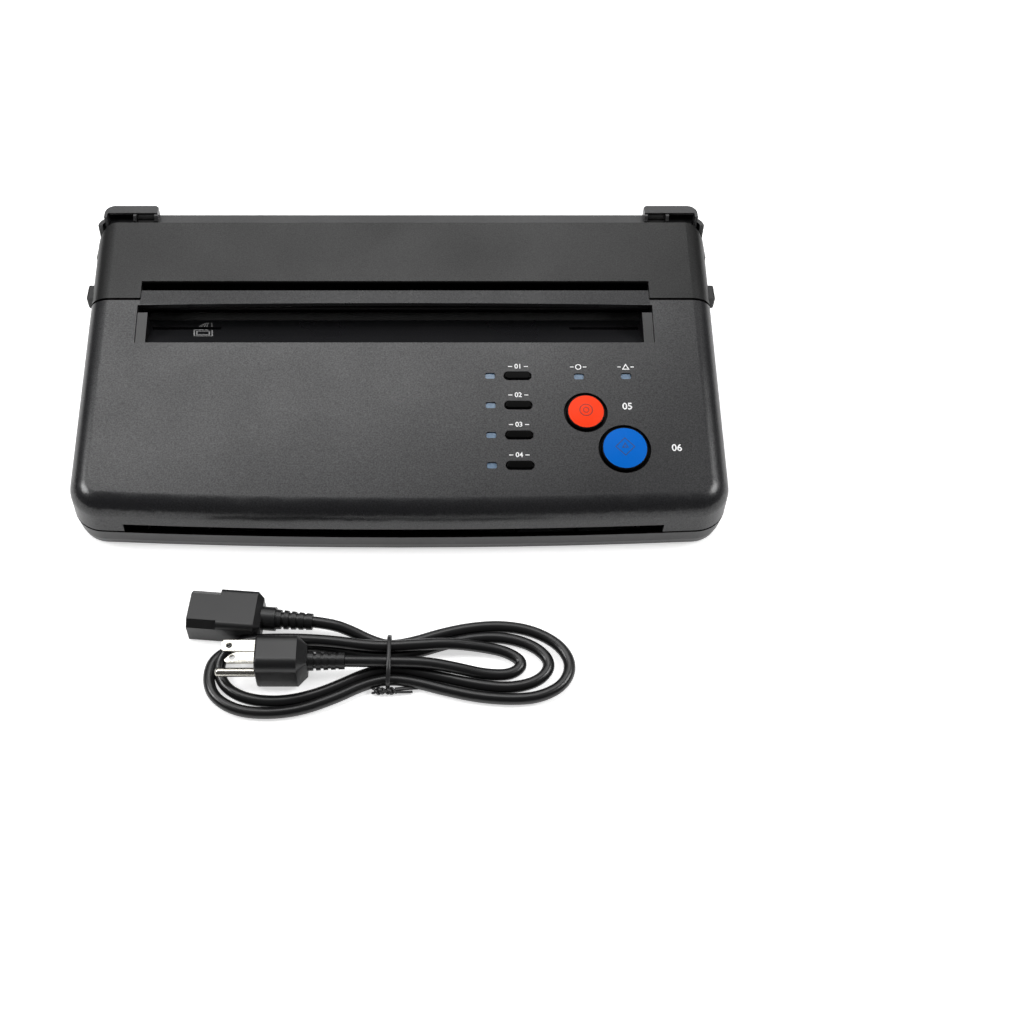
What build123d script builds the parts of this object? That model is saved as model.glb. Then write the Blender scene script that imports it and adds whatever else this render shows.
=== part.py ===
from build123d import *
import os
from math import atan2, cos, degrees, pi, radians, sin, sqrt, tan

# Thermal stencil copier: a sloping desk-top machine with a hinged rear cover.
# Millimetres. X runs to the operator's right, Y to the rear, Z up; the origin is
# on the table under the middle of the machine. The operator faces +Y.

# ---- outer case
case_width = 364.0            # side to side at the parting line
case_front = -95.8            # middle of the bowed front edge
case_rear = 95.8              # outer face of the rear wall
front_bow = 4.8               # how far the front edge bows forward of its ends
front_corner = 19.0           # plan radius of the front corners
rear_corner = 10.0            # plan radius of the base's rear corners
cover_corner = 14.0           # plan radius of the rear cover's corners
edge_round = 12.5             # rounding between the top and the side and front walls
side_draft = 2.2              # degrees that the walls lean in
wall = 2.5                    # moulded wall thickness
rib_depth = 3.0               # how far the stiffening ribs stand off the walls
parting = 15.0                # height of the line between base and housing
base_underside = 1.5          # height of the base's underside over the table
rim_height = 6.0              # height where the base's undercut steps in again
undercut = 1.0                # how far each band of the base steps in
top_slope = 13.0              # degrees that the top rises to the rear
top_height = 58.7             # height of the top surface over the origin
seam = 0.4                    # visible line between two mouldings
part_gap = 0.3                # clearance between neighbouring pieces

# ---- rear cover and hinge
cover_rear = 85.5             # rear edge of the cover
hinge_y = 90.5                # axis of the cover's hinge
hinge_z = 78.0
seam_front = 34.65            # where the cover meets the housing on top
skirt_bottom = 40.3           # lower edge of the cover's side skirts
tower_front = 69.0            # front of the base's rear corner towers
tower_top = 65.7              # top of the towers under the cover's corners
housing_rear = 52.0           # rear end of the front housing's side walls
ledge_top = 75.3              # top of the rear wall under the ears
rail_top = 77.2               # top of the rail between the ears
ear_rise = 4.0                # top of the two hinge ears over their axis
ear_inset = 7.0               # outboard face of each ear inside the case's widest line
ear_width = 31.2              # length of each ear along the hinge
ear_front = 89.7              # front edge of the ear's roof
ear_wing_front = 86.2         # front edge of the ear's side wing
ear_roof = 1.3                # thickness of the ear's roof
ear_wall = 1.8                # thickness of the ear's other walls
pin_radius = 1.0
pin_fit = 0.05                # running clearance on the radius
knuckle_radius = 2.3
knuckle_width = 10.0

# ---- side latches of the rear cover
latch_y = (43.0, 53.5)        # extent of each finger pad along the case
latch_z = (50.4, 58.5)        # extent of each finger pad in height
latch_proud = 3.6             # how far the pads stand out of the side
latch_travel = 2.0
latch_gap = 0.4               # clearance round the pads in the cover's side

# ---- paper ways
paper_middle = -3.2           # middle of the paper path from the machine's middle
slot_margin = 35.3            # case width left beside each end of the thermal paper slot
slot_rear = 45.05             # front edge of the cover along the slot
tongue_rear = 40.15           # rear edge of the strip between slot and feed recess
tongue_front = 32.05
recess_margin = 34.15         # the same for the original feed recess
recess_front = 6.85
recess_slope = 25.0           # degrees that the recess floor falls to the rear
recess_lip = 1.6              # drop from the top surface to the floor at its front edge
floor_wall = 2.2              # thickness of the recess floor and walls
exit_margin = 33.5            # the same for the front exit slot
exit_height = 7.0

# ---- document guides with rack and pinion
guide_width = 5.7
guide_rear = 26.35
guide_travel = 40.0
guide_slot = 3.2              # width of the slot that each guide's foot runs in
guide_slot_y = 28.6           # middle of that slot
rack_module = 1.0
rack_teeth = 16               # teeth on the guide pinion
rack_depth = 3.0              # thickness of the racks and the pinion

pinion_radius = rack_module * rack_teeth / 2
pinion_stud_radius = 1.6
rack_drop = 0.5               # gap between the recess floor's underside and the racks
rack_back = 3.2               # from the racks' pitch line to their backs

# ---- keys and lamps: plan positions on the sloping top
key_x = 66.1
key_rows = [-13.85, -31.75, -49.65, -67.45]
key_length = 15.2
key_width = 4.9
key_height = 1.0              # how far the keys stand out
key_travel = 0.8
key_fit = 0.35                # gap between a key and its hole
lamp_x = 50.7
lamp_length = 5.5
lamp_width = 3.4
lamp_recess = 0.8             # how deep the lamp windows lie in the panel
power_lamp = (100.6, -14.25)
error_lamp = (127.0, -14.05)
stop_place = (103.4, -36.15)
stop_radius = 10.6
copy_place = (123.8, -57.85)
copy_radius = 12.9
button_gap = 1.6              # dark ring round each round button
button_height = 2.2           # how far the round buttons stand out
button_travel = 1.2
panel_board_drop = 7.6        # from the top surface to the panel board
panel_board_x = (44.0, 142.0)
panel_board_y = (-78.0, -4.0)
switch_height = 2.4           # tact switch, body and plunger

# ---- drive train
gear_module = 1.0
feed_axis = (45.0, 33.5)      # y, z of the feed roller
feed_radius = 8.0
feed_teeth = 24
platen_radius = 9.0
platen_teeth = 26
platen_bearing = 32.7         # degrees from the feed roller up to the platen
scan_radius = 7.0
scan_teeth = 16
scan_bearing = -35.0
idler_small_teeth = 16
idler_large_teeth = 32
idler_bearing = 200.0
motor_teeth = 12
motor_bearing = 152.0
motor_radius = 13.0
motor_length = 20.0
shaft_radius = 3.0
stud_radius = 2.5
running_fit = 0.05
bush_radius = 5.0
roller_margin = 35.0          # case width left beside each end of the rollers
plate_gap = 4.3               # from the rollers' ends to the side plates
gear_width = 5.0
gear_stand = 4.0              # from the left plate to the gears
gear_step = 6.0               # from the small gears to the large idler gear and the motor pinion
motor_boss = 5.0
motor_shaft_radius = 1.5
plate_thick = 1.5
plate_spread = 1.7            # further gap of the right plate

# ---- inside
print_length = 250.0
head_gap = 0.3                # print strip over the platen
strip_thick = 2.0
sensor_length = 220.0
sensor_top = 12.7
bracket_thick = 1.5
tray_height = 22.6            # underside of the electronics tray, over the exit way
tray_thick = 1.2
board_thick = 1.6
board_z = 28.5                # underside of both boards on the tray
supply_board = (-145.0, -40.0, -68.0, -20.0)     # x and y extents
main_board_plan = (-26.0, 138.0, -62.0, -20.0)

# ---- screws and feet
screw_inset = 9.0             # from the case's side to each case screw
screw_rows = (-62.0, -4.0)
boss_radius = 4.2
post_height = 14.0            # height of the housing's screw posts
screw_radius = 1.5
screw_head = 2.9
foot_inset = 32.0             # from the case's side to each rubber foot
foot_rows = (-70.0, 72.0)
foot_radius = 7.0
foot_pocket = 1.2

# ---- rear wall fittings
inlet_inset = 64.0            # from the case's right side to the middle of the inlet
switch_step = 52.0            # from the inlet to the switch
fitting_z = 36.0
fitting_recess = 2.5          # depth of the shallow pocket round inlet and switch
inlet_half = (13.6, 9.9)      # half width and height of the inlet's body
switch_half = (6.4, 9.4)      # half width and height of the switch's body
fitting_fit = 0.15            # clearance round both in the rear wall
rocker_throw = 16.0           # degrees between off and on
rocker_half = (4.6, 6.4)      # half width and height of the rocker
rocker_pin = 1.2
switch_pivot = 90.2           # axis of the rocker
inlet_back = 77.0
inlet_mouth = (12.1, 8.3)     # half width and height of the socket's mouth

# ---- mains lead, lying in front of the machine
lead_diameter = 6.2
connector_nose = (-111.2, -140.7, 9.0)           # middle of the appliance connector's mouth
connector_turn = -4.8         # degrees that it lies askew
connector_size = (23.0, 15.8)                    # width and height of its nose
nose_length = 17.0
grip_length = 22.0
relief_length = 20.0
plug_face = (-73.4, -171.8, 12.7)                # middle of the wall plug's face
plug_size = (21.4, 25.4)
plug_length = 26.6
blade_length = 17.9
blade_width = 6.35
blade_thick = 1.5
blade_pitch = 12.7
ground_length = 21.0
ground_radius = 2.4
ground_offset = 11.9
hank_outline = [(-44.5, -142.6), (-30, -144.5), (-16, -151), (-4.8, -154.5), (10, -151.5), (27, -147.5),
                (42, -143.5), (58, -142), (74, -145), (87, -154), (95, -168), (90, -180), (79, -189), (65, -192.3),
                (45, -191), (27, -186), (10, -180.5), (-4.8, -179), (-20, -185), (-38, -195), (-55, -199.3),
                (-73, -200.6), (-88, -197), (-98, -189), (-103, -178), (-100, -167), (-91, -160), (-76, -157.6),
                (-60, -156.6), (-44.5, -154.5)]
tie_x = (-8.0, -1.6)
tie_y = (-181.0, -153.2)
tie_thick = 1.0

half_width = case_width / 2
slot_width = case_width - 2 * slot_margin
recess_width = case_width - 2 * recess_margin
exit_width = case_width - 2 * exit_margin
roller_length = case_width - 2 * roller_margin
ear_top = hinge_z + ear_rise
far = 2 * case_width          # reach of cutters that pass right through the case
ear_outer = half_width - ear_inset
ear_inner = ear_outer - ear_width
inlet_x = half_width - inlet_inset
switch_x = inlet_x - switch_step
slope = radians(top_slope)
top_plane = Plane(origin=(0, 0, top_height), x_dir=(1, 0, 0), z_dir=(0, -sin(slope), cos(slope)))
floor_top = base_underside + wall


# ---- helpers

def top_at(y):
    """Height of the sloping top surface at a distance y to the rear."""
    return top_height + tan(slope) * y


def on_top(x, y, lift=0.0):
    """Place on the sloping top over plan position x, y, raised along its normal."""
    return Location(top_plane) * Pos(x, y / cos(slope), lift)


def block(x0, x1, y0, y1, z0, z1):
    return Pos((x0 + x1) / 2, (y0 + y1) / 2, (z0 + z1) / 2) * Box(x1 - x0, y1 - y0, z1 - z0)


def rod_x(radius, x0, x1, y, z):
    """Round bar along X."""
    return Pos((x0 + x1) / 2, y, z) * Rot(0, 90, 0) * Cylinder(radius, x1 - x0)


def side_profile(points, x0, x1):
    """Plate with a side outline given as y, z points, from x0 to x1."""
    face = make_face(Polyline([(y, z) for y, z in points], close=True))
    return extrude(Plane(origin=(x0, 0, 0), x_dir=(0, 1, 0), z_dir=(1, 0, 0)) * face, x1 - x0)


def save(node, shape):
    export_step(shape, "parts/%s.step" % node)


def one(shapes):
    """A compound of the given separate solids."""
    return Compound(children=list(shapes))


# ---- case forms

def plan_outline(inset, rear, radius):
    """Plan of the case: a bowed front, straight sides and rounded corners."""
    half = half_width - inset
    front = case_front + inset
    shoulder = front + front_bow
    edges = [ThreePointArc((-half, shoulder), (0, front), (half, shoulder)),
             Line((half, shoulder), (half, rear)),
             Line((half, rear), (-half, rear)),
             Line((-half, rear), (-half, shoulder))]
    face = fillet([v for v in make_face(edges).vertices() if v.Y < 0], front_corner - inset)
    if radius:
        face = fillet([v for v in face.vertices() if v.Y > rear - 1], radius)
    return face


def upper_form(inset):
    """Solid under the sloping top, open-ended behind the machine."""
    body = extrude(Pos(0, 0, parting) * plan_outline(inset, 140, 0), 90, taper=side_draft)
    cutter = Location(top_plane) * Pos(0, 0, far / 2 - inset) * Box(far, far, far)
    body = body - cutter
    top = max(body.faces(), key=lambda face: face.center().Z)
    return fillet([e for e in top.edges() if e.center().Y < 100], edge_round - inset)


def cover_prism(inset):
    """Block with the rear cover's rounded rear corners and the case's leaning sides."""
    half = half_width - inset
    rear = cover_rear - side_lean(ledge_top) - inset
    face = Pos(0, rear / 2) * Rectangle(2 * half, rear)
    face = fillet([v for v in face.vertices() if v.Y > 1], cover_corner - inset)
    return extrude(Pos(0, 0, parting) * face, 90, taper=side_draft)


def side_x(z):
    """Half the case's width at height z."""
    return half_width + side_lean(z)


def side_lean(z):
    """How far the leaning side wall has come in at height z."""
    return -(z - parting) * tan(radians(side_draft))


def seam_drum(radius):
    """Cylinder about the hinge that the cover's front edge follows."""
    return rod_x(radius, -far, far, hinge_y, hinge_z)


outer_form = upper_form(0)
inner_form = upper_form(wall)
rib_top_form = upper_form(wall - 0.5)
rib_foot_form = upper_form(wall + rib_depth)
seam_radius = sqrt((hinge_y - seam_front) ** 2 + (hinge_z - top_at(seam_front)) ** 2)
slot_x = (paper_middle - slot_width / 2, paper_middle + slot_width / 2)
recess_x = (paper_middle - recess_width / 2, paper_middle + recess_width / 2)
exit_x = (paper_middle - exit_width / 2, paper_middle + exit_width / 2)
roller_x = (paper_middle - roller_length / 2, paper_middle + roller_length / 2)
plate_left = roller_x[0] - plate_gap - plate_thick
plate_right = roller_x[1] + plate_gap + plate_spread
gear_plane = (plate_left - gear_stand - gear_width, plate_left - gear_stand)
large_plane = (gear_plane[0] - gear_step, gear_plane[1] - gear_step)


def recess_floor(y):
    """Height of the recess floor, which falls to the rear."""
    start = top_at(recess_front) - recess_lip
    return start - tan(radians(recess_slope)) * (y - recess_front)


def place_from(axis, distance, bearing):
    """Point y, z at a distance and bearing from another axis."""
    return (axis[0] + distance * cos(radians(bearing)), axis[1] + distance * sin(radians(bearing)))


def gear_distance(teeth_a, teeth_b):
    return gear_module * (teeth_a + teeth_b) / 2


platen_axis = place_from(feed_axis, gear_distance(feed_teeth, platen_teeth), platen_bearing)
scan_axis = place_from(feed_axis, gear_distance(feed_teeth, scan_teeth), scan_bearing)
idler_axis = place_from(feed_axis, gear_distance(feed_teeth, idler_small_teeth), idler_bearing)
motor_axis = place_from(idler_axis, gear_distance(idler_large_teeth, motor_teeth), motor_bearing)


# ---- fixing points shared by base and housing

case_screws = [(side * (half_width - screw_inset), y) for y in screw_rows for side in (-1, 1)]
screw_seat = floor_top + 1.0   # underside of the counterbores' ceilings
foot_places = [(side * (half_width - foot_inset), y) for y in foot_rows for side in (-1, 1)]


# ---- base tray

def base_bands(inset):
    """The base under the parting line: two bands, each stepping in as it goes down."""
    upper = extrude(Pos(0, 0, parting) * plan_outline(inset, case_rear - inset, rear_corner - inset),
                    parting - rim_height, dir=(0, 0, -1), taper=degrees(atan2(undercut, parting - rim_height)))
    inner = inset + undercut
    lower = extrude(Pos(0, 0, rim_height) * plan_outline(inner, case_rear - inner, rear_corner - inner),
                    rim_height - base_underside, dir=(0, 0, -1),
                    taper=degrees(atan2(undercut, rim_height - base_underside)))
    return upper + lower


def rear_form(inset):
    """The base's rear end over the parting line, before it is cut to height."""
    face = plan_outline(inset, case_rear - inset, rear_corner - inset)
    return extrude(Pos(0, 0, parting) * face, ear_top - parting, taper=side_draft)


def rear_walls():
    shell = rear_form(0) - rear_form(wall)
    shell = shell - block(-far, far, -200, housing_rear + seam, 0, 200)
    shell = shell - block(-far, far, 0, tower_front, skirt_bottom - seam, 200)
    shell = shell - block(-far, far, 0, cover_rear + seam * 2, tower_top, 200)
    shell = shell - block(-far, far, 0, 200, ledge_top, 200)
    lip_front = cover_rear + seam * 2
    ledge = block(-ear_outer + wall, ear_outer - wall, lip_front, case_rear - wall, ledge_top - wall, ledge_top)
    lip = block(-ear_inner, ear_inner, lip_front, lip_front + 1.8, tower_top, ledge_top)
    rail = rear_form(0) & block(-ear_inner, ear_inner, lip_front, case_rear, ledge_top - wall, rail_top)
    rail = fillet(rail.edges().filter_by(Axis.X).sort_by(Axis.Z)[-2:], 0.6)
    return shell + ledge + lip + rail


def hinge_pin(side):
    """Steel pin through the ear's two cheeks."""
    length = 2 * ear_wall + knuckle_width + 2 * part_gap
    x0, x1 = sorted((side * ear_inner, side * (ear_inner + length)))
    return rod_x(pin_radius, x0, x1, hinge_y, hinge_z)


def ear(side):
    """Hood that carries the cover's hinge pin, with a wing round the cover's corner."""
    back = case_rear
    x0, x1 = sorted((side * ear_inner, side * ear_outer))
    hood = block(x0, x1, ear_front, back, ledge_top - wall, ear_top)
    wing_x = sorted((side * ear_outer, side * (ear_outer - ear_wall)))
    wing = block(*wing_x, ear_wing_front, back, tower_top, ear_top)
    body = hood + wing
    corner = [e for e in body.edges().filter_by(Axis.Z)
              if abs(e.center().X) > ear_outer - 0.1 and e.center().Y > back - 0.1]
    body = fillet(corner, 6.0)
    inner_corner = [e for e in body.edges().filter_by(Axis.Z)
                    if abs(e.center().X) < ear_inner + 0.1 and e.center().Y > back - 0.1]
    body = fillet(inner_corner, 2.0)
    inside_x = sorted((side * (ear_inner + ear_wall), side * (ear_outer - ear_wall)))
    hollow = block(*inside_x, 0, back - ear_wall, ledge_top, ear_top - ear_roof)
    hollow = fillet([e for e in hollow.edges().filter_by(Axis.Z)
                     if abs(e.center().X) > ear_outer - ear_wall - 0.1 and e.center().Y > 80], 4.5)
    body = body - hollow
    cheek_x = sorted((side * ear_inner, side * (ear_inner + ear_wall)))
    cheek = block(*cheek_x, hinge_y - 6, back - 0.5, ledge_top - 0.5, ear_top - 0.6)
    swing = hinge_y - cover_rear - 2 * part_gap
    cheek = cheek & (rod_x(swing, *cheek_x, hinge_y, hinge_z) + block(*cheek_x, hinge_y, back, 0, ear_top))
    outer_cheek = Pos(side * (ear_wall + knuckle_width + 2 * part_gap), 0, 0) * cheek
    body = body + cheek + outer_cheek
    return body - hinge_pin(side)


def floor_ribs():
    """Long ribs on the floor that carry the paper out to the front slot."""
    ribs = []
    for k in range(9):
        x = paper_middle + (k - 4) * 34.0
        top = parting - 1.0
        ribs.append(side_profile([(-88, floor_top - 0.5), (40, floor_top - 0.5), (40, top - 3),
                                  (34, top), (-86, top), (-88, top - 2)], x - 0.8, x + 0.8))
    return ribs


def fitting_pocket():
    """Shallow pocket in the rear wall round the mains inlet and the switch."""
    x0 = switch_x - 18
    x1 = inlet_x + 30
    return (x0, x1, fitting_z - 16, fitting_z + 16)


def base_tray():
    outer = base_bands(0)
    inner = base_bands(wall) - block(-far, far, -200, 200, 0, floor_top)
    body = outer - inner
    body = body + rear_walls()
    for side in (-1, 1):
        body = body + ear(side)
    for rib in floor_ribs():
        body = body + rib
    for x, y in case_screws:
        body = body + Pos(x, y, (floor_top + parting) / 2 - 0.3) * Cylinder(boss_radius, parting - floor_top + 0.2)
    x0, x1, z0, z1 = fitting_pocket()
    back = case_rear - fitting_recess
    body = body + block(x0 - 2, x1 + 2, back - wall, case_rear - 1, z0 - 2, z1 + 2)
    body = body - block(x0, x1, back, 200, z0, z1)
    for x, (half_w, half_h) in ((inlet_x, inlet_half), (switch_x, switch_half)):
        w = half_w + fitting_fit
        h = half_h + fitting_fit
        body = body - block(x - w, x + w, 60, 200, fitting_z - h, fitting_z + h)
    for x, y in case_screws:
        body = body - Pos(x, y, 0) * Cylinder(screw_radius + 0.2, 60)
        body = body - Pos(x, y, 0) * Cylinder(screw_head + 0.4, 2 * screw_seat)
    for x, y in foot_places:
        body = body - Pos(x, y, base_underside) * Cylinder(foot_radius + 0.1, 2 * foot_pocket)
    for k in range(12):
        x = -150 + k * 7.0
        body = body - block(x, x + 3.0, 88, 120, 26, 50)
    for k in range(10):
        x = 60 + k * 7.0
        body = body - block(x, x + 3.0, -60, -30, 0, floor_top + 0.1)
    return body


# ---- front housing

def lamp_places():
    return [(lamp_x, y) for y in key_rows] + [power_lamp, error_lamp]


def oblong(length, width, height, corner):
    """Block with rounded ends, standing on the plane z = 0."""
    return extrude(RectangleRounded(length, width, corner), height)


def panel_holes():
    cuts = []
    for y in key_rows:
        cuts.append(on_top(key_x, y, -wall - 5) *
                    oblong(key_length + 2 * key_fit, key_width + 2 * key_fit, 20, key_width / 2 + key_fit - 0.05))
    for x, y in lamp_places():
        cuts.append(on_top(x, y, -wall - 5) * oblong(lamp_length + 0.3, lamp_width + 0.3, 20, 1.2))
    cuts.append(on_top(*stop_place, -wall - 5) * Pos(0, 0, 10) * Cylinder(stop_radius + button_gap, 20))
    cuts.append(on_top(*copy_place, -wall - 5) * Pos(0, 0, 10) * Cylinder(copy_radius + button_gap, 20))
    return cuts


def recess_tub():
    """Sloping floor and side walls under the feed recess."""
    x0 = recess_x[0] - floor_wall
    x1 = recess_x[1] + floor_wall
    y0 = recess_front - floor_wall
    y1 = tongue_rear
    floor = side_profile([(y0, recess_floor(y0)), (y1, recess_floor(y1)),
                          (y1, recess_floor(y1) - floor_wall), (y0, recess_floor(y0) - floor_wall)], x0, x1)
    cheeks = [(y0, recess_floor(y0) - floor_wall), (y1, recess_floor(y1) - floor_wall),
              (y1, top_at(y1) - wall - 0.2), (y0, top_at(y0) - wall + 0.8)]
    left = side_profile(cheeks, x0, recess_x[0])
    right = side_profile(cheeks, recess_x[1], x1)
    front = side_profile([(y0, recess_floor(y0) - floor_wall), (recess_front, recess_floor(recess_front) - 1),
                          (recess_front, top_at(recess_front) - 0.8), (y0, top_at(y0) - 0.8)], x0, x1)
    return floor + left + right + front


def recess_mouth():
    """Cutter for the feed recess, with the tongue's slightly arched front edge."""
    x0, x1 = recess_x
    arch = ThreePointArc((x0, tongue_front - 1.3), (paper_middle, tongue_front), (x1, tongue_front - 1.3))
    outline = make_face([arch, Line((x1, tongue_front - 1.3), (x1, recess_front)),
                         Line((x1, recess_front), (x0, recess_front)), Line((x0, recess_front), (x0, tongue_front - 1.3))])
    tall = Pos(0, 0, recess_floor(tongue_front)) * extrude(outline, 60)
    wedge = side_profile([(recess_front, recess_floor(recess_front)), (tongue_front, recess_floor(tongue_front)),
                          (tongue_front, 100), (recess_front, 100)], x0, x1)
    return tall & wedge


def guide_slots():
    """Slots in the recess floor for the feet of the two guides."""
    cuts = []
    for side, edge in ((1, recess_x[0]), (-1, recess_x[1])):
        x0, x1 = sorted((edge, edge + side * (guide_width + guide_travel + 0.4)))
        z = recess_floor(guide_slot_y)
        cuts.append(block(x0, x1, guide_slot_y - guide_slot / 2, guide_slot_y + guide_slot / 2, z - 6, z + 4))
    return cuts


def front_housing():
    shell = outer_form - inner_form
    body = shell - block(-far, far, housing_rear, 200, 0, 200)
    body = body + recess_tub()
    body = body - seam_drum(seam_radius + seam / 2)
    tongue = shell & block(slot_x[0] + seam, slot_x[1] - seam, seam_front - 6, tongue_rear, 50, 90)
    body = body + tongue
    body = body - recess_mouth()
    for slot in guide_slots():
        body = body - slot
    for hole in panel_holes():
        body = body - hole
    body = body - block(exit_x[0], exit_x[1], -200, -70, 0, parting + exit_height)
    for x, y in case_screws:
        post = Pos(x, y, parting + post_height / 2) * Cylinder(boss_radius, post_height)
        reach = half_width - wall if x > 0 else wall - half_width
        web = block(*sorted((x, reach)), y - 1, y + 1, parting, parting + post_height)
        body = body + (post + web)
        body = body - Pos(x, y, parting + 5) * Cylinder(screw_radius - 0.2, 12)
    for x in (-120, -70, -20, 30):
        rib = block(x - 0.8, x + 0.8, -84, recess_front - floor_wall, 30, 80)
        body = body + (rib & (rib_top_form - rib_foot_form))
    for post in panel_posts():
        body = body + post
    return body + pinion_stud()


# ---- rear cover

def hinge_arm(side):
    """Knuckle on the cover's rear edge, bored for the hinge pin."""
    x0 = ear_inner + ear_wall + part_gap
    x1 = x0 + knuckle_width
    a, b = sorted((side * x0, side * x1))
    barrel = rod_x(knuckle_radius, a, b, hinge_y, hinge_z)
    arm = block(a, b, cover_rear - wall, hinge_y, hinge_z - knuckle_radius, hinge_z - 0.2)
    return barrel + arm - rod_x(pin_radius + pin_fit, a - 1, b + 1, hinge_y, hinge_z)


def rear_cover():
    shell = (outer_form & cover_prism(0)) - (inner_form & cover_prism(wall))
    shell = shell & seam_drum(seam_radius - seam / 2)
    shell = shell - block(-far, far, 0, tower_front - part_gap, 0, skirt_bottom)
    shell = shell - block(-far, far, 0, 200, 0, tower_top + seam) + \
        (shell & block(-far, far, 0, tower_front - part_gap, skirt_bottom, tower_top + seam + 0.01))
    shell = shell - block(slot_x[0], slot_x[1], 0, slot_rear, 0, 200)
    lip_z = top_at(slot_rear) - 12
    lip = block(slot_x[0] - wall, slot_x[1] + wall, slot_rear, slot_rear + 2.0, lip_z, top_at(slot_rear) - 1.0)
    body = shell + lip
    for edge, side in ((slot_x[0], -1), (slot_x[1], 1)):
        a, b = sorted((edge, edge + side * 2.0))
        cheek = block(a, b, seam_front - 10, slot_rear + 1, lip_z, 90)
        body = body + (cheek & rib_top_form & seam_drum(seam_radius - seam / 2))
    for side in (-1, 1):
        body = body + hinge_arm(side)
        x0, x1 = sorted((side * (half_width - 12), side * (half_width + 8)))
        body = body - block(x0, x1, latch_y[0] - latch_gap, latch_y[1] + latch_gap,
                            latch_z[0] - latch_gap, latch_z[1] + latch_gap)
    for x in (-130, -65, 0, 65, 130):
        rib = block(x - 0.8, x + 0.8, slot_rear + 1, cover_rear - wall + 0.5, 55, 90)
        body = body + (rib & (rib_top_form - rib_foot_form))
    return body


# ---- small case pieces

def rubber_feet():
    feet = []
    for x, y in foot_places:
        foot = Pos(x, y, (base_underside + foot_pocket) / 2) * Cylinder(foot_radius, base_underside + foot_pocket)
        feet.append(chamfer(foot.edges().sort_by(Axis.Z)[0], 0.6))
    return one(feet)


def case_screw_set():
    """Screws from below into the housing's posts."""
    screws = []
    for x, y in case_screws:
        head = Pos(x, y, screw_seat - 1.0) * Cylinder(screw_head, 2.0)
        shank = Pos(x, y, screw_seat + 8.0) * Cylinder(screw_radius - 0.2, 16.0)
        cross = Pos(x, y, screw_seat - 2.0) * (Box(3.4, 0.8, 1.6) + Box(0.8, 3.4, 1.6))
        screws.append(head + shank - cross)
    return one(screws)


def latch(side):
    """Finger pad that stands out of the cover's side, with a flange and a short leaf inside."""
    y0, y1 = latch_y
    z0, z1 = latch_z
    skin = side_x(z1) - wall
    outer = side_x((z0 + z1) / 2) + latch_proud
    pad = block(skin - 2.0, outer, y0, y1, z0, z1)
    pad = fillet([e for e in pad.edges() if e.center().X > outer - 0.1], 1.2)
    for k in range(3):
        y = (y0 + y1) / 2 + (k - 1) * 2.6
        pad = pad - block(outer - 0.5, outer + 1, y - 0.5, y + 0.5, z0 + 1.5, z1 - 1.5)
    flange = block(skin - 2.2, skin - 0.6, y0 - 1.0, y1 + 1.6, z0 - 1.4, z1 + 0.6)
    leaf = block(skin - 3.6, skin - 2.1, y1 - 5, y1 - 0.5, skirt_bottom + 1.5, z1 - 1)
    nose = block(skin - 3.6, skin - 1.5, y1 - 5, y1 - 0.5, skirt_bottom + 1.5, skirt_bottom + 4.0)
    body = pad + flange + leaf + chamfer(nose.edges().filter_by(Axis.Y).sort_by(Axis.Z)[0], 0.9)
    return body if side > 0 else mirror(body, Plane.YZ)


# ---- keys, buttons and lamps

def mode_key(y):
    """Oblong key: a domed cap, a flange under the panel and a stem to its switch."""
    top = -wall - part_gap
    cap = Pos(0, 0, top) * oblong(key_length, key_width, key_height - top, key_width / 2 - 0.05)
    cap = fillet(cap.faces().sort_by(Axis.Z)[-1].edges(), 0.8)
    flange = Pos(0, 0, top - 0.8) * oblong(key_length + 2.4, key_width + 2.4, 0.8, 1.5)
    end = -panel_board_drop + switch_height + key_travel + running_fit
    stem = Pos(0, 0, end) * extrude(Circle(1.5), top - end)
    return on_top(key_x, y) * (cap + flange + stem)


def round_button(place, radius):
    """Round push button: a softly domed cap, a flange under the panel and a stem."""
    top = -wall - part_gap
    shoulder = button_height - 1.7
    rim = radius - 0.9
    end = -panel_board_drop + switch_height + button_travel + running_fit
    low = top - 0.8
    lines = [Line((0, end), (2.0, end)), Line((2.0, end), (2.0, low)), Line((2.0, low), (radius + 2.6, low)),
             Line((radius + 2.6, low), (radius + 2.6, top)),
             Line((radius + 2.6, top), (radius, top)), Line((radius, top), (radius, shoulder)),
             ThreePointArc((radius, shoulder), (radius - 0.25, shoulder + 0.6), (rim, shoulder + 0.85)),
             ThreePointArc((rim, shoulder + 0.85), (rim * 0.5, button_height - 0.23), (0.8, button_height)),
             Line((0.8, button_height), (0, button_height)), Line((0, button_height), (0, end))]
    return on_top(*place) * revolve(Plane.XZ * make_face(lines), Axis.Z)


def lamp_windows():
    """Clear light pipes that bring each lamp up to its window in the panel."""
    pipes = []
    foot_z = -panel_board_drop + 1.3
    for x, y in lamp_places():
        lens = Pos(0, 0, -wall - 0.6) * oblong(lamp_length, lamp_width, wall + 0.6 - lamp_recess, 1.1)
        foot = Pos(0, 0, foot_z) * oblong(lamp_length - 2.0, lamp_width - 0.6, -wall - 0.3 - foot_z, 0.6)
        pipes.append(on_top(x, y) * (lens + foot))
    return one(pipes)


def key_places():
    return [(key_x, y) for y in key_rows] + [stop_place, copy_place]


def board_corners():
    return [(x, y) for x in (panel_board_x[0] + 4, panel_board_x[1] - 4)
            for y in (panel_board_y[0] + 4, panel_board_y[1] - 4)]


def panel_board():
    x0, x1 = panel_board_x
    y0, y1 = panel_board_y
    plate = on_top((x0 + x1) / 2, (y0 + y1) / 2, -panel_board_drop - board_thick / 2) * \
        Box(x1 - x0, (y1 - y0) / cos(slope), board_thick)
    for x, y in board_corners():
        plate = plate - on_top(x, y, -panel_board_drop) * Cylinder(1.4, 10)
    return plate


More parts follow.
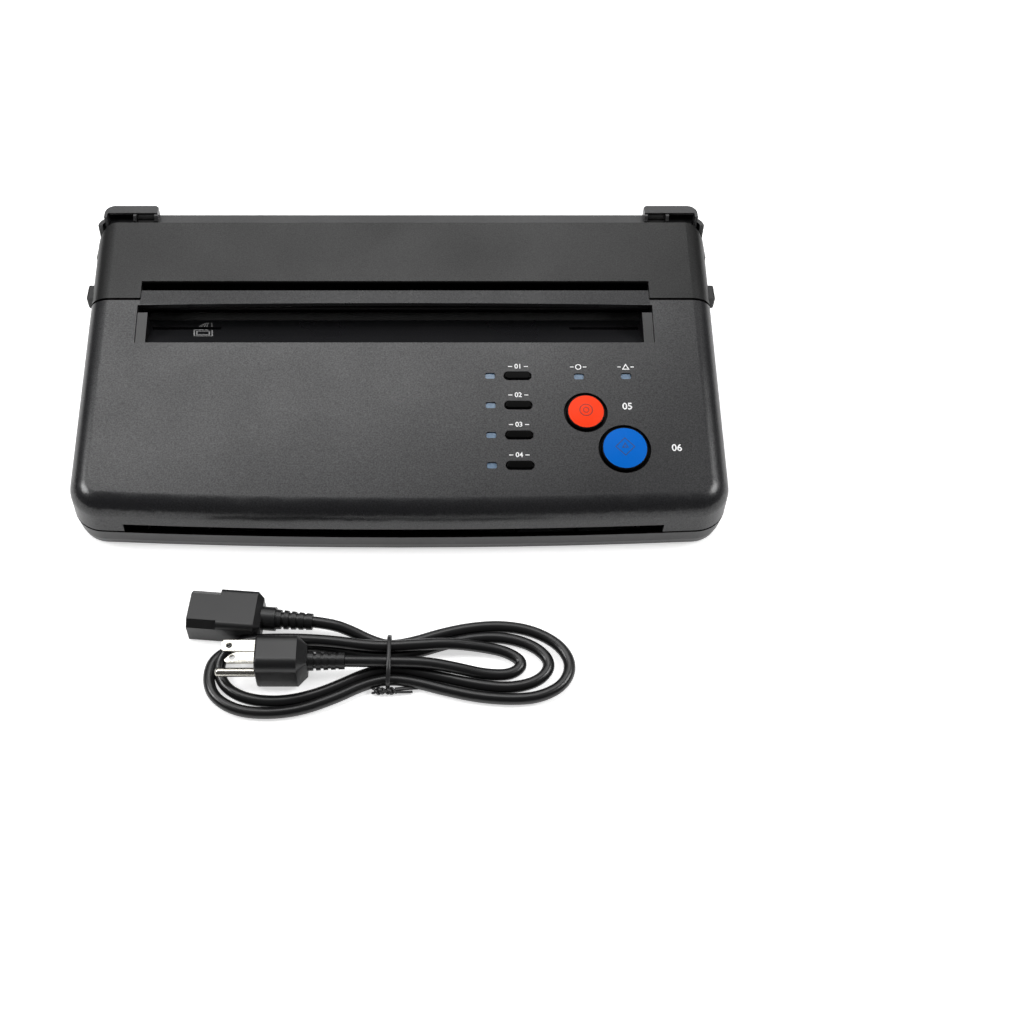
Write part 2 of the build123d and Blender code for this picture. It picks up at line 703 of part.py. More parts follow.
def panel_posts():
    """Posts under the panel that the panel board screws to."""
    length = panel_board_drop - wall + 0.4
    post = Pos(0, 0, length / 2) * Cylinder(2.8, length) - Cylinder(1.1, length)
    return [on_top(x, y, -panel_board_drop) * post for x, y in board_corners()]


def panel_switches():
    """Tact switches on the panel board, one under each key and button."""
    body = Pos(0, 0, 0.85) * Box(6, 6, 1.7)
    plunger = Pos(0, 0, (1.6 + switch_height) / 2) * Cylinder(1.7, switch_height - 1.6)
    return one([on_top(x, y, -panel_board_drop) * (body + plunger) for x, y in key_places()])


def panel_lamps():
    return one([on_top(x, y, -panel_board_drop + 0.6) * Box(3.2, 1.6, 1.2) for x, y in lamp_places()])


# ---- document guides

def under_floor():
    """Place under the recess floor: x right, y down the slope to the rear, z out of the floor."""
    a = radians(recess_slope)
    z = recess_floor(guide_slot_y) - floor_wall / cos(a)
    return Location(Plane(origin=(paper_middle, guide_slot_y, z), x_dir=(1, 0, 0), z_dir=(0, sin(a), cos(a))))


def gear_face(teeth, module, turn=0.0, bore=0.0):
    """Spur gear outline with one tooth centred on the bearing turn, in degrees."""
    pitch = teeth * module / 2
    lean = tan(radians(20))
    half = module * (pi / 4 - 0.09)
    points = []
    for k in range(teeth):
        middle = radians(turn) + 2 * pi * k / teeth
        for step, sign in ((-1.15, -1), (0, -1), (0.9, -1), (0.9, 1), (0, 1), (-1.15, 1)):
            radius = pitch + step * module
            angle = middle + sign * (half - step * module * lean) / pitch
            points.append((radius * cos(angle), radius * sin(angle)))
    face = make_face(Polyline(points, close=True))
    return face - Circle(bore) if bore else face


def guide_pinion():
    gear = extrude(gear_face(rack_teeth, rack_module, bore=pinion_stud_radius + running_fit), rack_depth)
    return under_floor() * Pos(0, 0, -rack_drop - rack_depth) * gear


def pinion_stud():
    length = rack_drop + rack_depth + 0.3
    return under_floor() * Pos(0, 0, -length) * extrude(Circle(pinion_stud_radius), length + 0.5)


def pinion_keeper():
    """Plate under the stud that keeps the pinion and both racks up."""
    z = -(rack_drop + rack_depth + 0.3)
    plate = Pos(0, 0, z - 0.6) * Box(28, 2 * pinion_radius + 3, 1.2)
    head = Pos(0, 0, z - 1.6) * Cylinder(2.6, 1.0)
    return under_floor() * (plate + head)


def rack(side):
    """Toothed bar under the floor: the left guide's in front of the pinion, the right one's behind."""
    pitch = pi * rack_module
    lean = tan(radians(20)) * rack_module
    half = rack_module * (pi / 4 - 0.09)
    tip = pinion_radius - 0.9 * rack_module
    root = pinion_radius + 1.15 * rack_module
    back = pinion_radius + rack_back
    count = int(guide_travel / pitch) + 6
    points = [(-8.5, root)]
    for k in range(count):
        x = (k - 1.5) * pitch
        points += [(x - half - 1.15 * lean, root), (x - half + 0.9 * lean, tip),
                   (x + half - 0.9 * lean, tip), (x + half + 1.15 * lean, root)]
    reach = recess_width / 2 - 1.5
    points += [(reach, root), (reach, back), (-8.5, back)]
    turned = [(side * x, side * y) for x, y in points]
    bar = extrude(make_face(Polyline(turned, close=True)), rack_depth, dir=(0, 0, 1))
    inner = reach - 4.0
    x0, x1 = sorted((side * inner, side * reach))
    y0, y1 = sorted((side * back, -side * 3.5 if side < 0 else -2.5))
    arm = block(x0, x1, y0, y1, 0, rack_depth)
    return under_floor() * Pos(0, 0, -rack_drop - rack_depth) * (bar + arm)


def document_guide(side):
    """Sliding fence in the recess with a foot through the floor to its rack."""
    edge = recess_x[1] - part_gap if side > 0 else recess_x[0] + part_gap
    x0, x1 = sorted((edge, edge - side * guide_width))
    y0 = recess_front + part_gap
    y1 = guide_rear
    fence = side_profile([(y0, recess_floor(y0) + part_gap), (y1, recess_floor(y1) + part_gap),
                          (y1, top_at(y1) - 0.6), (y0, top_at(y0) - 0.6)], x0, x1)
    y2 = guide_slot_y + guide_slot / 2
    sole = side_profile([(y1 - 1, recess_floor(y1 - 1) + part_gap), (y2, recess_floor(y2) + part_gap),
                         (y2, recess_floor(y2) + 2.2), (y1 - 1, recess_floor(y1 - 1) + 2.2)], x0, x1)
    low = recess_floor(guide_slot_y) - floor_wall - rack_drop - rack_depth + 0.4
    foot = block(x0 + 0.4, x1 - 0.4, guide_slot_y - 1.2, guide_slot_y + 1.2, low, recess_floor(guide_slot_y) + 1.0)
    return fence + sole + foot + rack(side)


# ---- frame, rollers and gears

def side_plate(x0):
    """Pressed steel plate that carries the shafts, with lightening holes and a foot flange."""
    outline = [(-12, floor_top), (78, floor_top), (78, 56), (57, 56), (52, 41.5), (37, 36.5), (14, 48), (-12, 48)]
    body = side_profile(outline, x0, x0 + plate_thick)
    flange = (x0, x0 + 9.0) if x0 > 0 else (x0 - 7.5, x0 + plate_thick)
    body = body + block(*flange, -12, 78, floor_top, floor_top + plate_thick)
    for y, z, radius in ((-4, 14, 5.0), (75, 16, 2.0), (40, 14.5, 6.5)):
        body = body - rod_x(radius, x0 - 1, x0 + plate_thick + 1, y, z)
    for axis in (feed_axis, platen_axis, scan_axis):
        body = body - rod_x(bush_radius, x0 - 1, x0 + plate_thick + 1, *axis)
    if x0 < 0:
        body = body - rod_x(stud_radius, x0 - 1, x0 + plate_thick + 1, *idler_axis)
        body = body - rod_x(motor_boss + 0.1, x0 - 1, x0 + plate_thick + 1, *motor_axis)
    return body


def shaft_bushings():
    rings = []
    for axis in (feed_axis, platen_axis, scan_axis):
        for x0, away in ((plate_left, -1), (plate_right, 1)):
            ring = rod_x(bush_radius, x0 - 1.0, x0 + plate_thick + 1.0, *axis)
            collar_x = sorted((x0, x0 - 1.5)) if away < 0 else (x0 + plate_thick, x0 + plate_thick + 1.5)
            ring = ring + rod_x(bush_radius + 1.4, *collar_x, *axis)
            rings.append(ring - rod_x(shaft_radius + running_fit, x0 - 9, x0 + 9, *axis))
    return one(rings)


def roller(axis, radius):
    body = rod_x(radius, *roller_x, *axis)
    body = chamfer(body.edges(), 0.6)
    return body - rod_x(shaft_radius, -200, 200, *axis)


def shaft(axis):
    body = rod_x(shaft_radius, gear_plane[0], plate_right + 4.5, *axis)
    return chamfer(body.edges(), 0.4)


def gear_at(axis, teeth, turn, plane, bore):
    """Gear on an axis along X, with one tooth at a bearing in the y-z plane."""
    x0, x1 = plane
    face = gear_face(teeth, gear_module, turn, bore)
    return extrude(Plane(origin=(x0, axis[0], axis[1]), x_dir=(0, 1, 0), z_dir=(1, 0, 0)) * face, x1 - x0)


def mesh_turn(teeth_a, turn_a, teeth_b, bearing):
    """Tooth bearing of gear B that meshes with gear A, when B lies at a bearing from A."""
    shift = (radians(turn_a) - radians(bearing)) * teeth_a
    return bearing + 180 - degrees((shift + pi) / teeth_b)


feed_turn = 0.0
platen_turn = mesh_turn(feed_teeth, feed_turn, platen_teeth, platen_bearing)
scan_turn = mesh_turn(feed_teeth, feed_turn, scan_teeth, scan_bearing)
idler_turn = mesh_turn(feed_teeth, feed_turn, idler_small_teeth, idler_bearing)
motor_turn = mesh_turn(idler_large_teeth, idler_turn, motor_teeth, motor_bearing)


def hubbed_gear(axis, teeth, turn):
    """Gear pressed on a shaft, its face hollowed round a hub."""
    gear = gear_at(axis, teeth, turn, gear_plane, shaft_radius)
    rim = teeth * gear_module / 2 - 3.4
    if rim > shaft_radius + 4:
        ring = rod_x(rim, gear_plane[0] - 1, gear_plane[0] + 1.2, *axis)
        gear = gear - (ring - rod_x(shaft_radius + 2.2, -250, 0, *axis))
    return gear


def idler_gear():
    """Large and small gear moulded as one, running on a stud."""
    small = gear_at(idler_axis, idler_small_teeth, idler_turn, (large_plane[1] - 0.1, gear_plane[1]), 0)
    large = gear_at(idler_axis, idler_large_teeth, idler_turn, large_plane, 0)
    ring = rod_x(12.0, large_plane[0] - 1, large_plane[0] + 1.4, *idler_axis)
    large = large - (ring - rod_x(5.0, -250, 0, *idler_axis))
    return small + large - rod_x(stud_radius + running_fit, -250, 0, *idler_axis)


def idler_stud():
    pin = rod_x(stud_radius, large_plane[0] - 1.4, plate_left + plate_thick, *idler_axis)
    clip = rod_x(stud_radius + 1.6, large_plane[0] - 1.1, large_plane[0] - 0.4, *idler_axis)
    collar = rod_x(stud_radius + 2.0, gear_plane[1] + 0.4, plate_left, *idler_axis)
    return pin + clip + collar


def motor():
    """Round motor on the inside of the left plate, its boss through the plate."""
    inner = plate_left + plate_thick
    can = rod_x(motor_radius, inner, inner + motor_length, *motor_axis)
    can = fillet(can.edges().sort_by(Axis.X)[-1], 1.5)
    boss = rod_x(motor_boss, plate_left - 1.0, inner + 1, *motor_axis)
    end = rod_x(4.0, inner + motor_length - 1, inner + motor_length + 2.0, *motor_axis)
    return can + boss + end - rod_x(motor_shaft_radius + running_fit, -250, inner + 10, *motor_axis)


def motor_pinion():
    gear = gear_at(motor_axis, motor_teeth, motor_turn, large_plane, 0)
    return gear + rod_x(motor_shaft_radius, large_plane[1] - 1, plate_left + plate_thick + 9, *motor_axis)


def paper_guide():
    """Curved plate that turns the original round the back of the feed roller."""
    inner = feed_radius + 2.0
    outer = inner + 1.2
    x0 = plate_left + plate_thick
    ring = rod_x(outer, x0, plate_right, *feed_axis) - rod_x(inner, x0 - 1, plate_right + 1, *feed_axis)
    y, z = feed_axis
    keep = side_profile([(y, z), (y + 40 * cos(radians(62)), z + 40 * sin(radians(62))), (y + 60, z),
                         (y + 40 * cos(radians(-50)), z - 40 * sin(radians(50)))], x0, plate_right)
    low = place_from(feed_axis, (inner + outer) / 2, -49)
    chute = side_profile([(low[0] - 0.9, low[1] + 0.3), (low[0] + 0.5, low[1] + 0.9), (53.3, 14.8), (51.9, 14.8)],
                         x0, plate_right)
    return (ring & keep) + chute


# ---- reading and printing

def image_sensor():
    """Contact image sensor bar on the floor, under the scan roller."""
    x0 = paper_middle - sensor_length / 2
    x1 = paper_middle + sensor_length / 2
    body = block(x0, x1, 54, 69, floor_top, sensor_top)
    body = body - block(x0 + 4, x1 - 4, 57, 66, sensor_top - 1.2, sensor_top + 1)
    for x in (x0 - 5, x1 + 5):
        body = body + block(x - 5.5, x + 5.5, 57, 66, floor_top, floor_top + 3)
    return body


def sensor_glass():
    x0 = paper_middle - sensor_length / 2
    x1 = paper_middle + sensor_length / 2
    top = scan_axis[1] - scan_radius - head_gap
    plate = block(x0, x1, 54, 69, sensor_top, top)
    return chamfer(plate.edges().filter_by(Axis.X).group_by(Axis.Z)[-1], 0.5)


def head_x():
    return (paper_middle - print_length / 2, paper_middle + print_length / 2)


strip_low = platen_axis[1] + platen_radius + head_gap
strip_top = strip_low + strip_thick


def print_strip():
    """Thermal print strip with a raised line of heaters along its middle."""
    x0, x1 = head_x()
    y = platen_axis[0]
    return block(x0, x1, y - 6, y + 6, strip_low, strip_top)


def heat_sink():
    x0, x1 = head_x()
    y0 = platen_axis[0] - 9
    y1 = platen_axis[0] + 11
    body = block(x0, x1, y0, y1, strip_top, strip_top + 2.0)
    for k in range(4):
        y = y0 + 1.0 + k * 2.6
        body = body + block(x0, x1, y - 0.6, y + 0.6, strip_top + 1.9, strip_top + 4.6)
    return body


def spring_places():
    return [paper_middle - 100, paper_middle - 34, paper_middle + 34, paper_middle + 100]


spring_y = platen_axis[0] + 5.5


def bracket_low(y):
    """Underside of the print head's bracket, which follows the sloping cover."""
    return top_at(y) - (wall + rib_depth + bracket_thick) / cos(slope)


def head_springs():
    """Coil springs that press the print strip on the platen."""
    coils = []
    low = strip_top + 2.0
    high = bracket_low(spring_y - 2.5)
    turns = 4
    wire = 0.45
    for x in spring_places():
        path = Helix(pitch=(high - low - 2 * wire) / turns, height=high - low - 2 * wire, radius=2.2)
        coil = sweep(Plane(origin=path @ 0, z_dir=path % 0) * RegularPolygon(wire, 5), path, is_frenet=True)
        coils.append(Pos(x, spring_y, low + wire) * coil)
    return one(coils)


def head_bracket():
    """Folded plate under the cover that carries the print head."""
    x0, x1 = head_x()
    y0 = platen_axis[0] - 9
    y1 = platen_axis[0] + 12
    z_lift = (wall + rib_depth) / cos(slope)
    plate = side_profile([(y0, bracket_low(y0)), (y1, bracket_low(y1)), (y1, top_at(y1) - z_lift),
                          (y0, top_at(y0) - z_lift)], x0 - 4, x1 + 4)
    for a, b in ((x0 - 2.2, x0 - 0.7), (x1 + 0.7, x1 + 2.2)):
        cheek = side_profile([(y0 + 2, strip_top), (y1 - 3, strip_top), (y1 - 3, bracket_low(y1 - 3) + 0.2),
                              (y0 + 2, bracket_low(y0 + 2) + 0.2)], a, b)
        plate = plate + cheek
    for x in spring_places():
        plate = plate + Pos(x, spring_y, bracket_low(spring_y) - 1.0) * Cylinder(1.3, 3.0)
    return plate


# ---- electronics

def electronics_tray():
    """Folded steel tray over the paper way, with stand-offs for both boards."""
    x0 = exit_x[0] - 2.2
    x1 = exit_x[1] + 2.2
    y0 = -86.0
    y1 = -16.0
    body = block(x0, x1, y0, y1, tray_height, tray_height + tray_thick)
    for a, b in ((x0, x0 + tray_thick), (x1 - tray_thick, x1)):
        body = body + block(a, b, y0 + 6, y1, floor_top, tray_height + 0.5)
    body = fillet([e for e in body.edges().filter_by(Axis.Y) if e.center().Z > tray_height + tray_thick - 0.1], 0.9)
    for k in range(9):
        x = paper_middle - 128 + k * 32
        body = body - block(x - 9, x + 9, y1 - 7, y1 - 4, tray_height - 1, tray_height + 3)
    for x, y in stand_offs():
        body = body + Pos(x, y, (tray_height + tray_thick + board_z) / 2) * Cylinder(2.4, board_z - tray_height - tray_thick)
    return body


def stand_offs():
    places = []
    for x0, x1, y0, y1 in (supply_board, main_board_plan):
        places += [(x, y) for x in (x0 + 4, x1 - 4) for y in (y0 + 4, y1 - 4)]
    return places


def screw_heads(plan):
    """Low screw heads at a board's corners."""
    x0, x1, y0, y1 = plan
    heads = []
    for x in (x0 + 4, x1 - 4):
        for y in (y0 + 4, y1 - 4):
            heads.append(Pos(x, y, board_z + board_thick + 0.8) * Cylinder(2.6, 1.6))
    return heads


def power_supply():
    """Supply board with transformer, choke, capacitors and heat sink."""
    x0, x1, y0, y1 = supply_board
    z = board_z + board_thick
    body = block(x0, x1, y0, y1, board_z, z)
    body = body + block(x0 + 12, x0 + 44, y0 + 18, y0 + 44, z - 0.1, z + 9.5)
    body = body + block(x0 + 16, x0 + 40, y0 + 21, y0 + 41, z, z + 11.0)
    for x, y, radius, height in ((60, 38, 6.5, 13), (76, 38, 5.0, 12), (60, 20, 4.0, 9), (72, 20, 4.0, 9)):
        can = Pos(x0 + x, y0 + y, z + height / 2 - 0.05) * Cylinder(radius, height + 0.1)
        body = body + fillet(can.edges().sort_by(Axis.Z)[-1], 0.6)
    for k in range(5):
        body = body + block(x0 + 86, x0 + 98, y0 + 14 + k * 6, y0 + 15.4 + k * 6, z - 0.1, z + 8)
    body = body + block(x0 + 86, x0 + 87.6, y0 + 14, y0 + 39.4, z - 0.1, z + 8)
    for head in screw_heads(supply_board):
        body = body + head
    return body


def main_board():
    """Control board with its chips, connectors and small capacitors."""
    x0, x1, y0, y1 = main_board_plan
    z = board_z + board_thick
    body = block(x0, x1, y0, y1, board_z, z)
    for x, y, w, d, h in ((24, 20, 20, 20, 1.6), (52, 26, 14, 10, 1.4), (78, 14, 12, 8, 1.4),
                          (100, 24, 16, 6, 4.0), (128, 12, 24, 5, 4.0), (140, 28, 10, 12, 2.0)):
        body = body + block(x0 + x - w / 2, x0 + x + w / 2, y0 + y - d / 2, y0 + y + d / 2, z - 0.05, z + h)
    for x in (60, 66, 72):
        body = body + Pos(x0 + x, y0 + 36, z + 1.9) * Cylinder(2.0, 4.0)
    for head in screw_heads(main_board_plan):
        body = body + head
    return body


def panel_cable():
    """Flat cable that joins the panel board to the control board."""
    x0 = main_board_plan[0] + 100 - 7
    y = main_board_plan[2] + 24
    high = top_at(y - 0.4) - (panel_board_drop + board_thick) / cos(slope)
    return block(x0, x0 + 14, y - 0.4, y + 0.4, board_z + board_thick + 4.0, high)


# ---- rear wall fittings

def fitting_face():
    return case_rear - fitting_recess


def mains_inlet():
    """Three-pin inlet socket, its mouth with two cut corners."""
    w, h = inlet_half
    face = fitting_face()
    body = block(inlet_x - w, inlet_x + w, inlet_back, face, fitting_z - h, fitting_z + h)
    body = body + block(inlet_x - w - 1.4, inlet_x + w + 1.4, face, face + 1.8, fitting_z - h - 1.4, fitting_z + h + 1.4)
    a, b = inlet_mouth
    outline = Polyline([(-a, -b), (a, -b), (a, b - 4), (a - 4, b), (4 - a, b), (-a, b - 4)], close=True)
    mouth = extrude(Plane(origin=(inlet_x, inlet_back + 2, fitting_z), x_dir=(1, 0, 0), z_dir=(0, -1, 0)) *
                    make_face(outline), -30)
    return body - mouth


def inlet_pins():
    """Two flat pins and the earth pin, well back in the socket."""
    pins = []
    for x, z in ((-7.0, -2.0), (7.0, -2.0), (0.0, 2.0)):
        pin = block(inlet_x + x - 1.0, inlet_x + x + 1.0, inlet_back + 2, inlet_back + 8.5,
                    fitting_z + z - 2.0, fitting_z + z + 2.0)
        pins.append(pin)
    return one(pins)


def switch_body():
    w, h = switch_half
    face = fitting_face()
    body = block(switch_x - w, switch_x + w, switch_pivot - 9, face, fitting_z - h, fitting_z + h)
    body = body + block(switch_x - w - 1.4, switch_x + w + 1.4, face, face + 1.2, fitting_z - h - 1.4, fitting_z + h + 1.4)
    body = body - block(switch_x - rocker_half[0] - 0.4, switch_x + rocker_half[0] + 0.4, switch_pivot - 7.5, 120,
                        fitting_z - rocker_half[1] - 1.75, fitting_z + rocker_half[1] + 1.75)
    return body - rod_x(rocker_pin + running_fit, switch_x - w + 0.4, switch_x + w - 0.4, switch_pivot, fitting_z)


def power_rocker():
    """Rocker with a shallow hollow across its face, lying in its off position."""
    half_w, half_h = rocker_half
    a = radians(rocker_throw / 2)
    middle = 3.4
    points = [(middle, 0), (middle + half_h * tan(a), half_h), (-2.0, half_h * 0.8),
              (-2.0, -half_h * 0.8), (middle + half_h * tan(a), -half_h)]
    turned = [(switch_pivot + y * cos(a) + z * sin(a), fitting_z + z * cos(a) - y * sin(a)) for y, z in points]
    body = side_profile(turned, switch_x - half_w, switch_x + half_w)
    return body + rod_x(rocker_pin, switch_x - switch_half[0] + 0.7, switch_x + switch_half[0] - 0.7,
                        switch_pivot, fitting_z)


# ---- mains lead

def ribbed_relief(start_radius, end_radius, length):
    """Strain relief along X: a tapered sleeve with four grooves."""
    sleeve = Plane.YZ * Cone(start_radius, end_radius, length, align=(Align.CENTER, Align.CENTER, Align.MIN))
    for k in range(4):
        x = length * (0.2 + 0.2 * k)
        groove = rod_x(start_radius + 1, x - 0.8, x + 0.8, 0, 0) - rod_x(end_radius - 0.3, x - 1, x + 1, 0, 0)
        sleeve = sleeve - groove
    return sleeve


def nose_outline(width, height, cut):
    """Outline in y and z with the two upper corners cut."""
    w = width / 2
    h = height / 2
    return make_face(Polyline([(-w, -h), (w, -h), (w, h - cut), (w - cut, h), (cut - w, h), (-w, h - cut)], close=True))


def lead_connector():
    """Appliance connector with its three contact slots, grip and strain relief."""
    width, height = connector_size
    nose = extrude(Plane.YZ * nose_outline(width, height, 3.6), nose_length)
    grip = extrude(Plane.YZ.offset(nose_length - 1) * RectangleRounded(width + 1.6, 18.0, 3.5), grip_length + 1)
    grip = chamfer(grip.edges().group_by(Axis.X)[-1], 3.2)
    collar = rod_x(6.4, nose_length + grip_length - 1, nose_length + grip_length + 7, 0, 0)
    body = nose + grip + collar
    body = body + Pos(nose_length + grip_length + 6.8, 0, 0) * ribbed_relief(5.4, 4.4, relief_length)
    for y, z in ((-7.0, -1.5), (7.0, -1.5), (0.0, 2.5)):
        body = body - block(-1, 12, y - 1.3, y + 1.3, z - 2.4, z + 2.4)
    return Pos(*connector_nose) * Rot(0, 0, connector_turn) * body


def lead_plug():
    """Wall plug lying on its side."""
    width, height = plug_size
    body = extrude(Plane.YZ * RectangleRounded(width, height, 6.0), plug_length)
    body = fillet(body.edges().group_by(Axis.X)[0], 1.2)
    body = chamfer(body.edges().group_by(Axis.X)[-1], 5.0)
    body = body + Pos(plug_length - 0.2, 0, 0) * ribbed_relief(5.2, 4.3, relief_length - 0.6)
    return Pos(*plug_face) * body


def plug_blades():
    x, y, z = plug_face
    blade_y = y + 5.3
    pins = []
    for side in (-1, 1):
        level = z + side * blade_pitch / 2
        blade = block(x - blade_length, x, blade_y - blade_width / 2, blade_y + blade_width / 2,
                      level - blade_thick / 2, level + blade_thick / 2)
        blade = chamfer(blade.edges().group_by(Axis.X)[0].filter_by(Axis.Z), 1.2)
        pins.append(blade - Pos(x - blade_length + 4, blade_y, level) * Cylinder(1.6, 4))
    ground = rod_x(ground_radius, x - ground_length, x, blade_y - ground_offset, z)
    pins.append(fillet(ground.edges().sort_by(Axis.X)[0], 1.6))
    return one(pins)


def lead_hank():
    """Outer shape of the folded lead: two strands high in the bundle, one high round the plug."""
    face = make_face(Polyline(hank_outline, close=True))
    bundle = extrude(face, 2 * lead_diameter) & block(-44.5, 100, -210, -130, 0, 20)
    loops = extrude(face, lead_diameter) & block(-110, -44.4, -210, -130, 0, 20)
    body = bundle + loops
    x, y, z = plug_face
    half = plug_size[0] / 2 + 0.1
    body = body - block(x - 0.2, x + plug_length + relief_length - 0.8, y - half, y + half, -1, 30)
    body = body - block(x - ground_length - 1, x, y - half, y + half, z - blade_pitch / 2 - 1.1, 30)
    return body - (block(*tie_x, -200, -130, -1, 30) - tie_waist())


def tie_waist():
    """The bundle's cross-section inside the tie."""
    y0, y1 = tie_y
    return block(*tie_x, y0 + tie_thick, y1 - tie_thick, tie_thick, 2 * lead_diameter)


def lead_tie():
    """Band round the waist of the bundle."""
    band = block(*tie_x, *tie_y, 0, 2 * lead_diameter + tie_thick)
    return fillet(band.edges().filter_by(Axis.X).group_by(Axis.Z)[-1], 0.9) - tie_waist()


if __name__ == "__main__":
    os.makedirs("parts", exist_ok=True)
    save("base_tray", base_tray())
    save("front_housing", front_housing())
    save("rear_cover", rear_cover())
    save("hinge_pins", one([hinge_pin(-1), hinge_pin(1)]))
    save("rubber_feet", rubber_feet())
    save("case_screws", case_screw_set())
    save("latch_left", latch(-1))
    save("latch_right", latch(1))
    for number, key_y in enumerate(key_rows, 1):
        save("mode_key_%d" % number, mode_key(key_y))
    save("stop_button", round_button(stop_place, stop_radius))
    save("copy_button", round_button(copy_place, copy_radius))
    save("lamp_windows", lamp_windows())
    save("panel_board", panel_board())
    save("panel_switches", panel_switches())
    save("panel_lamps", panel_lamps())
    save("guide_left", document_guide(-1))
    save("guide_right", document_guide(1))
    save("guide_pinion", guide_pinion())
    save("pinion_keeper", pinion_keeper())
    save("side_plate_left", side_plate(plate_left))
    save("side_plate_right", side_plate(plate_right))
    save("shaft_bushings", shaft_bushings())
    save("feed_roller", roller(feed_axis, feed_radius))
    save("feed_shaft", shaft(feed_axis))
    save("feed_gear", hubbed_gear(feed_axis, feed_teeth, feed_turn))
    save("platen_roller", roller(platen_axis, platen_radius))
    save("platen_shaft", shaft(platen_axis))
    save("platen_gear", hubbed_gear(platen_axis, platen_teeth, platen_turn))
    save("scan_roller", roller(scan_axis, scan_radius))
    save("scan_shaft", shaft(scan_axis))
    save("scan_gear", hubbed_gear(scan_axis, scan_teeth, scan_turn))
    save("idler_gear", idler_gear())
    save("idler_stud", idler_stud())
    save("motor", motor())
    save("motor_pinion", motor_pinion())
    save("paper_guide", paper_guide())
    save("image_sensor", image_sensor())
    save("sensor_glass", sensor_glass())
    save("print_strip", print_strip())
    save("heat_sink", heat_sink())
    save("head_springs", head_springs())
    save("head_bracket", head_bracket())
    save("electronics_tray", electronics_tray())
    save("power_supply", power_supply())
    save("main_board", main_board())
    save("panel_cable", panel_cable())
    save("mains_inlet", mains_inlet())
    save("inlet_pins", inlet_pins())
    save("switch_body", switch_body())
    save("power_rocker", power_rocker())
    save("lead_connector", lead_connector())
    save("lead_plug", lead_plug())
    save("plug_blades", plug_blades())
    save("lead_hank", lead_hank())
    save("lead_tie", lead_tie())
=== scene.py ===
import bpy
import bmesh
from mathutils.bvhtree import BVHTree
from math import cos, pi, radians, sin, tan
from mathutils import Matrix, Vector


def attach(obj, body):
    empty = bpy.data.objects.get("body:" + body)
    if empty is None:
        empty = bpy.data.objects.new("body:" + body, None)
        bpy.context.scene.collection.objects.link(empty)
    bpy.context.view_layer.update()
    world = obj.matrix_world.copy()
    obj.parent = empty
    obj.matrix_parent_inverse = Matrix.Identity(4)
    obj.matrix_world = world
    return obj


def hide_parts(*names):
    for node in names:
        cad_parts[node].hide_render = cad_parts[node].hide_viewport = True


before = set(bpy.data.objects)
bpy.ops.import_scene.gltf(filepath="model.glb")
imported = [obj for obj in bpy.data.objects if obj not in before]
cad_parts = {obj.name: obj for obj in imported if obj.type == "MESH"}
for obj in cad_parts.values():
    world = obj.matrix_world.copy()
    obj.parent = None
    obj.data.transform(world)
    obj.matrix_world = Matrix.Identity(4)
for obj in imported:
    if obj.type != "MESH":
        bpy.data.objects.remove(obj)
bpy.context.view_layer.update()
mm = 0.001  # sizes below are in mm, unless a note says metres


# camera and stage

cameraView = {"place": (14.1, -501.15, 618.0), "lookDown": 55.0, "focal": 46.336, "sensor": 36.0, "shift": 0.085}

cameraData = bpy.data.cameras.new("camera")
cameraData.sensor_width = cameraView["sensor"]
cameraData.lens = cameraView["focal"]
cameraData.shift_x = cameraView["shift"]
camera = bpy.data.objects.new("camera", cameraData)
camera.location = Vector(cameraView["place"]) * mm
camera.rotation_euler = (radians(90 - cameraView["lookDown"]), 0, 0)
bpy.context.scene.collection.objects.link(camera)
bpy.context.scene.camera = camera
bpy.context.scene.view_settings.view_transform = "Standard"
print("camera placed")


# small helpers

def toLinear(hexColour, strength=1.0):
    # sRGB hex to linear RGBA, made darker or paler by the strength
    values = [int(hexColour[i:i + 2], 16) / 255 for i in (0, 2, 4)]
    return [strength * (v / 12.92 if v <= 0.04045 else ((v + 0.055) / 1.055) ** 2.4) for v in values] + [1.0]


def addNode(tree, kind, sockets=None, **options):
    # a socket takes a value, another node's output, or a node for its first output
    node = tree.nodes.new(kind)
    for name, value in options.items():
        setattr(node, name, value)
    for name, value in (sockets or {}).items():
        if isinstance(value, bpy.types.Node):
            value = value.outputs[0]
        if isinstance(value, bpy.types.NodeSocket):
            tree.links.new(value, node.inputs[name])
        else:
            node.inputs[name].default_value = value
    return node


def newMaterial(name):
    material = bpy.data.materials.new(name)
    material.use_nodes = True
    material.node_tree.nodes.clear()
    return material, material.node_tree


def newPiece(name, mesh, material, body):
    piece = bpy.data.objects.new(name, mesh)
    bpy.context.scene.collection.objects.link(piece)
    piece.data.materials.clear()
    piece.data.materials.append(material)
    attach(piece, body)
    return piece


# the mains lead, which lies coiled in front of the machine

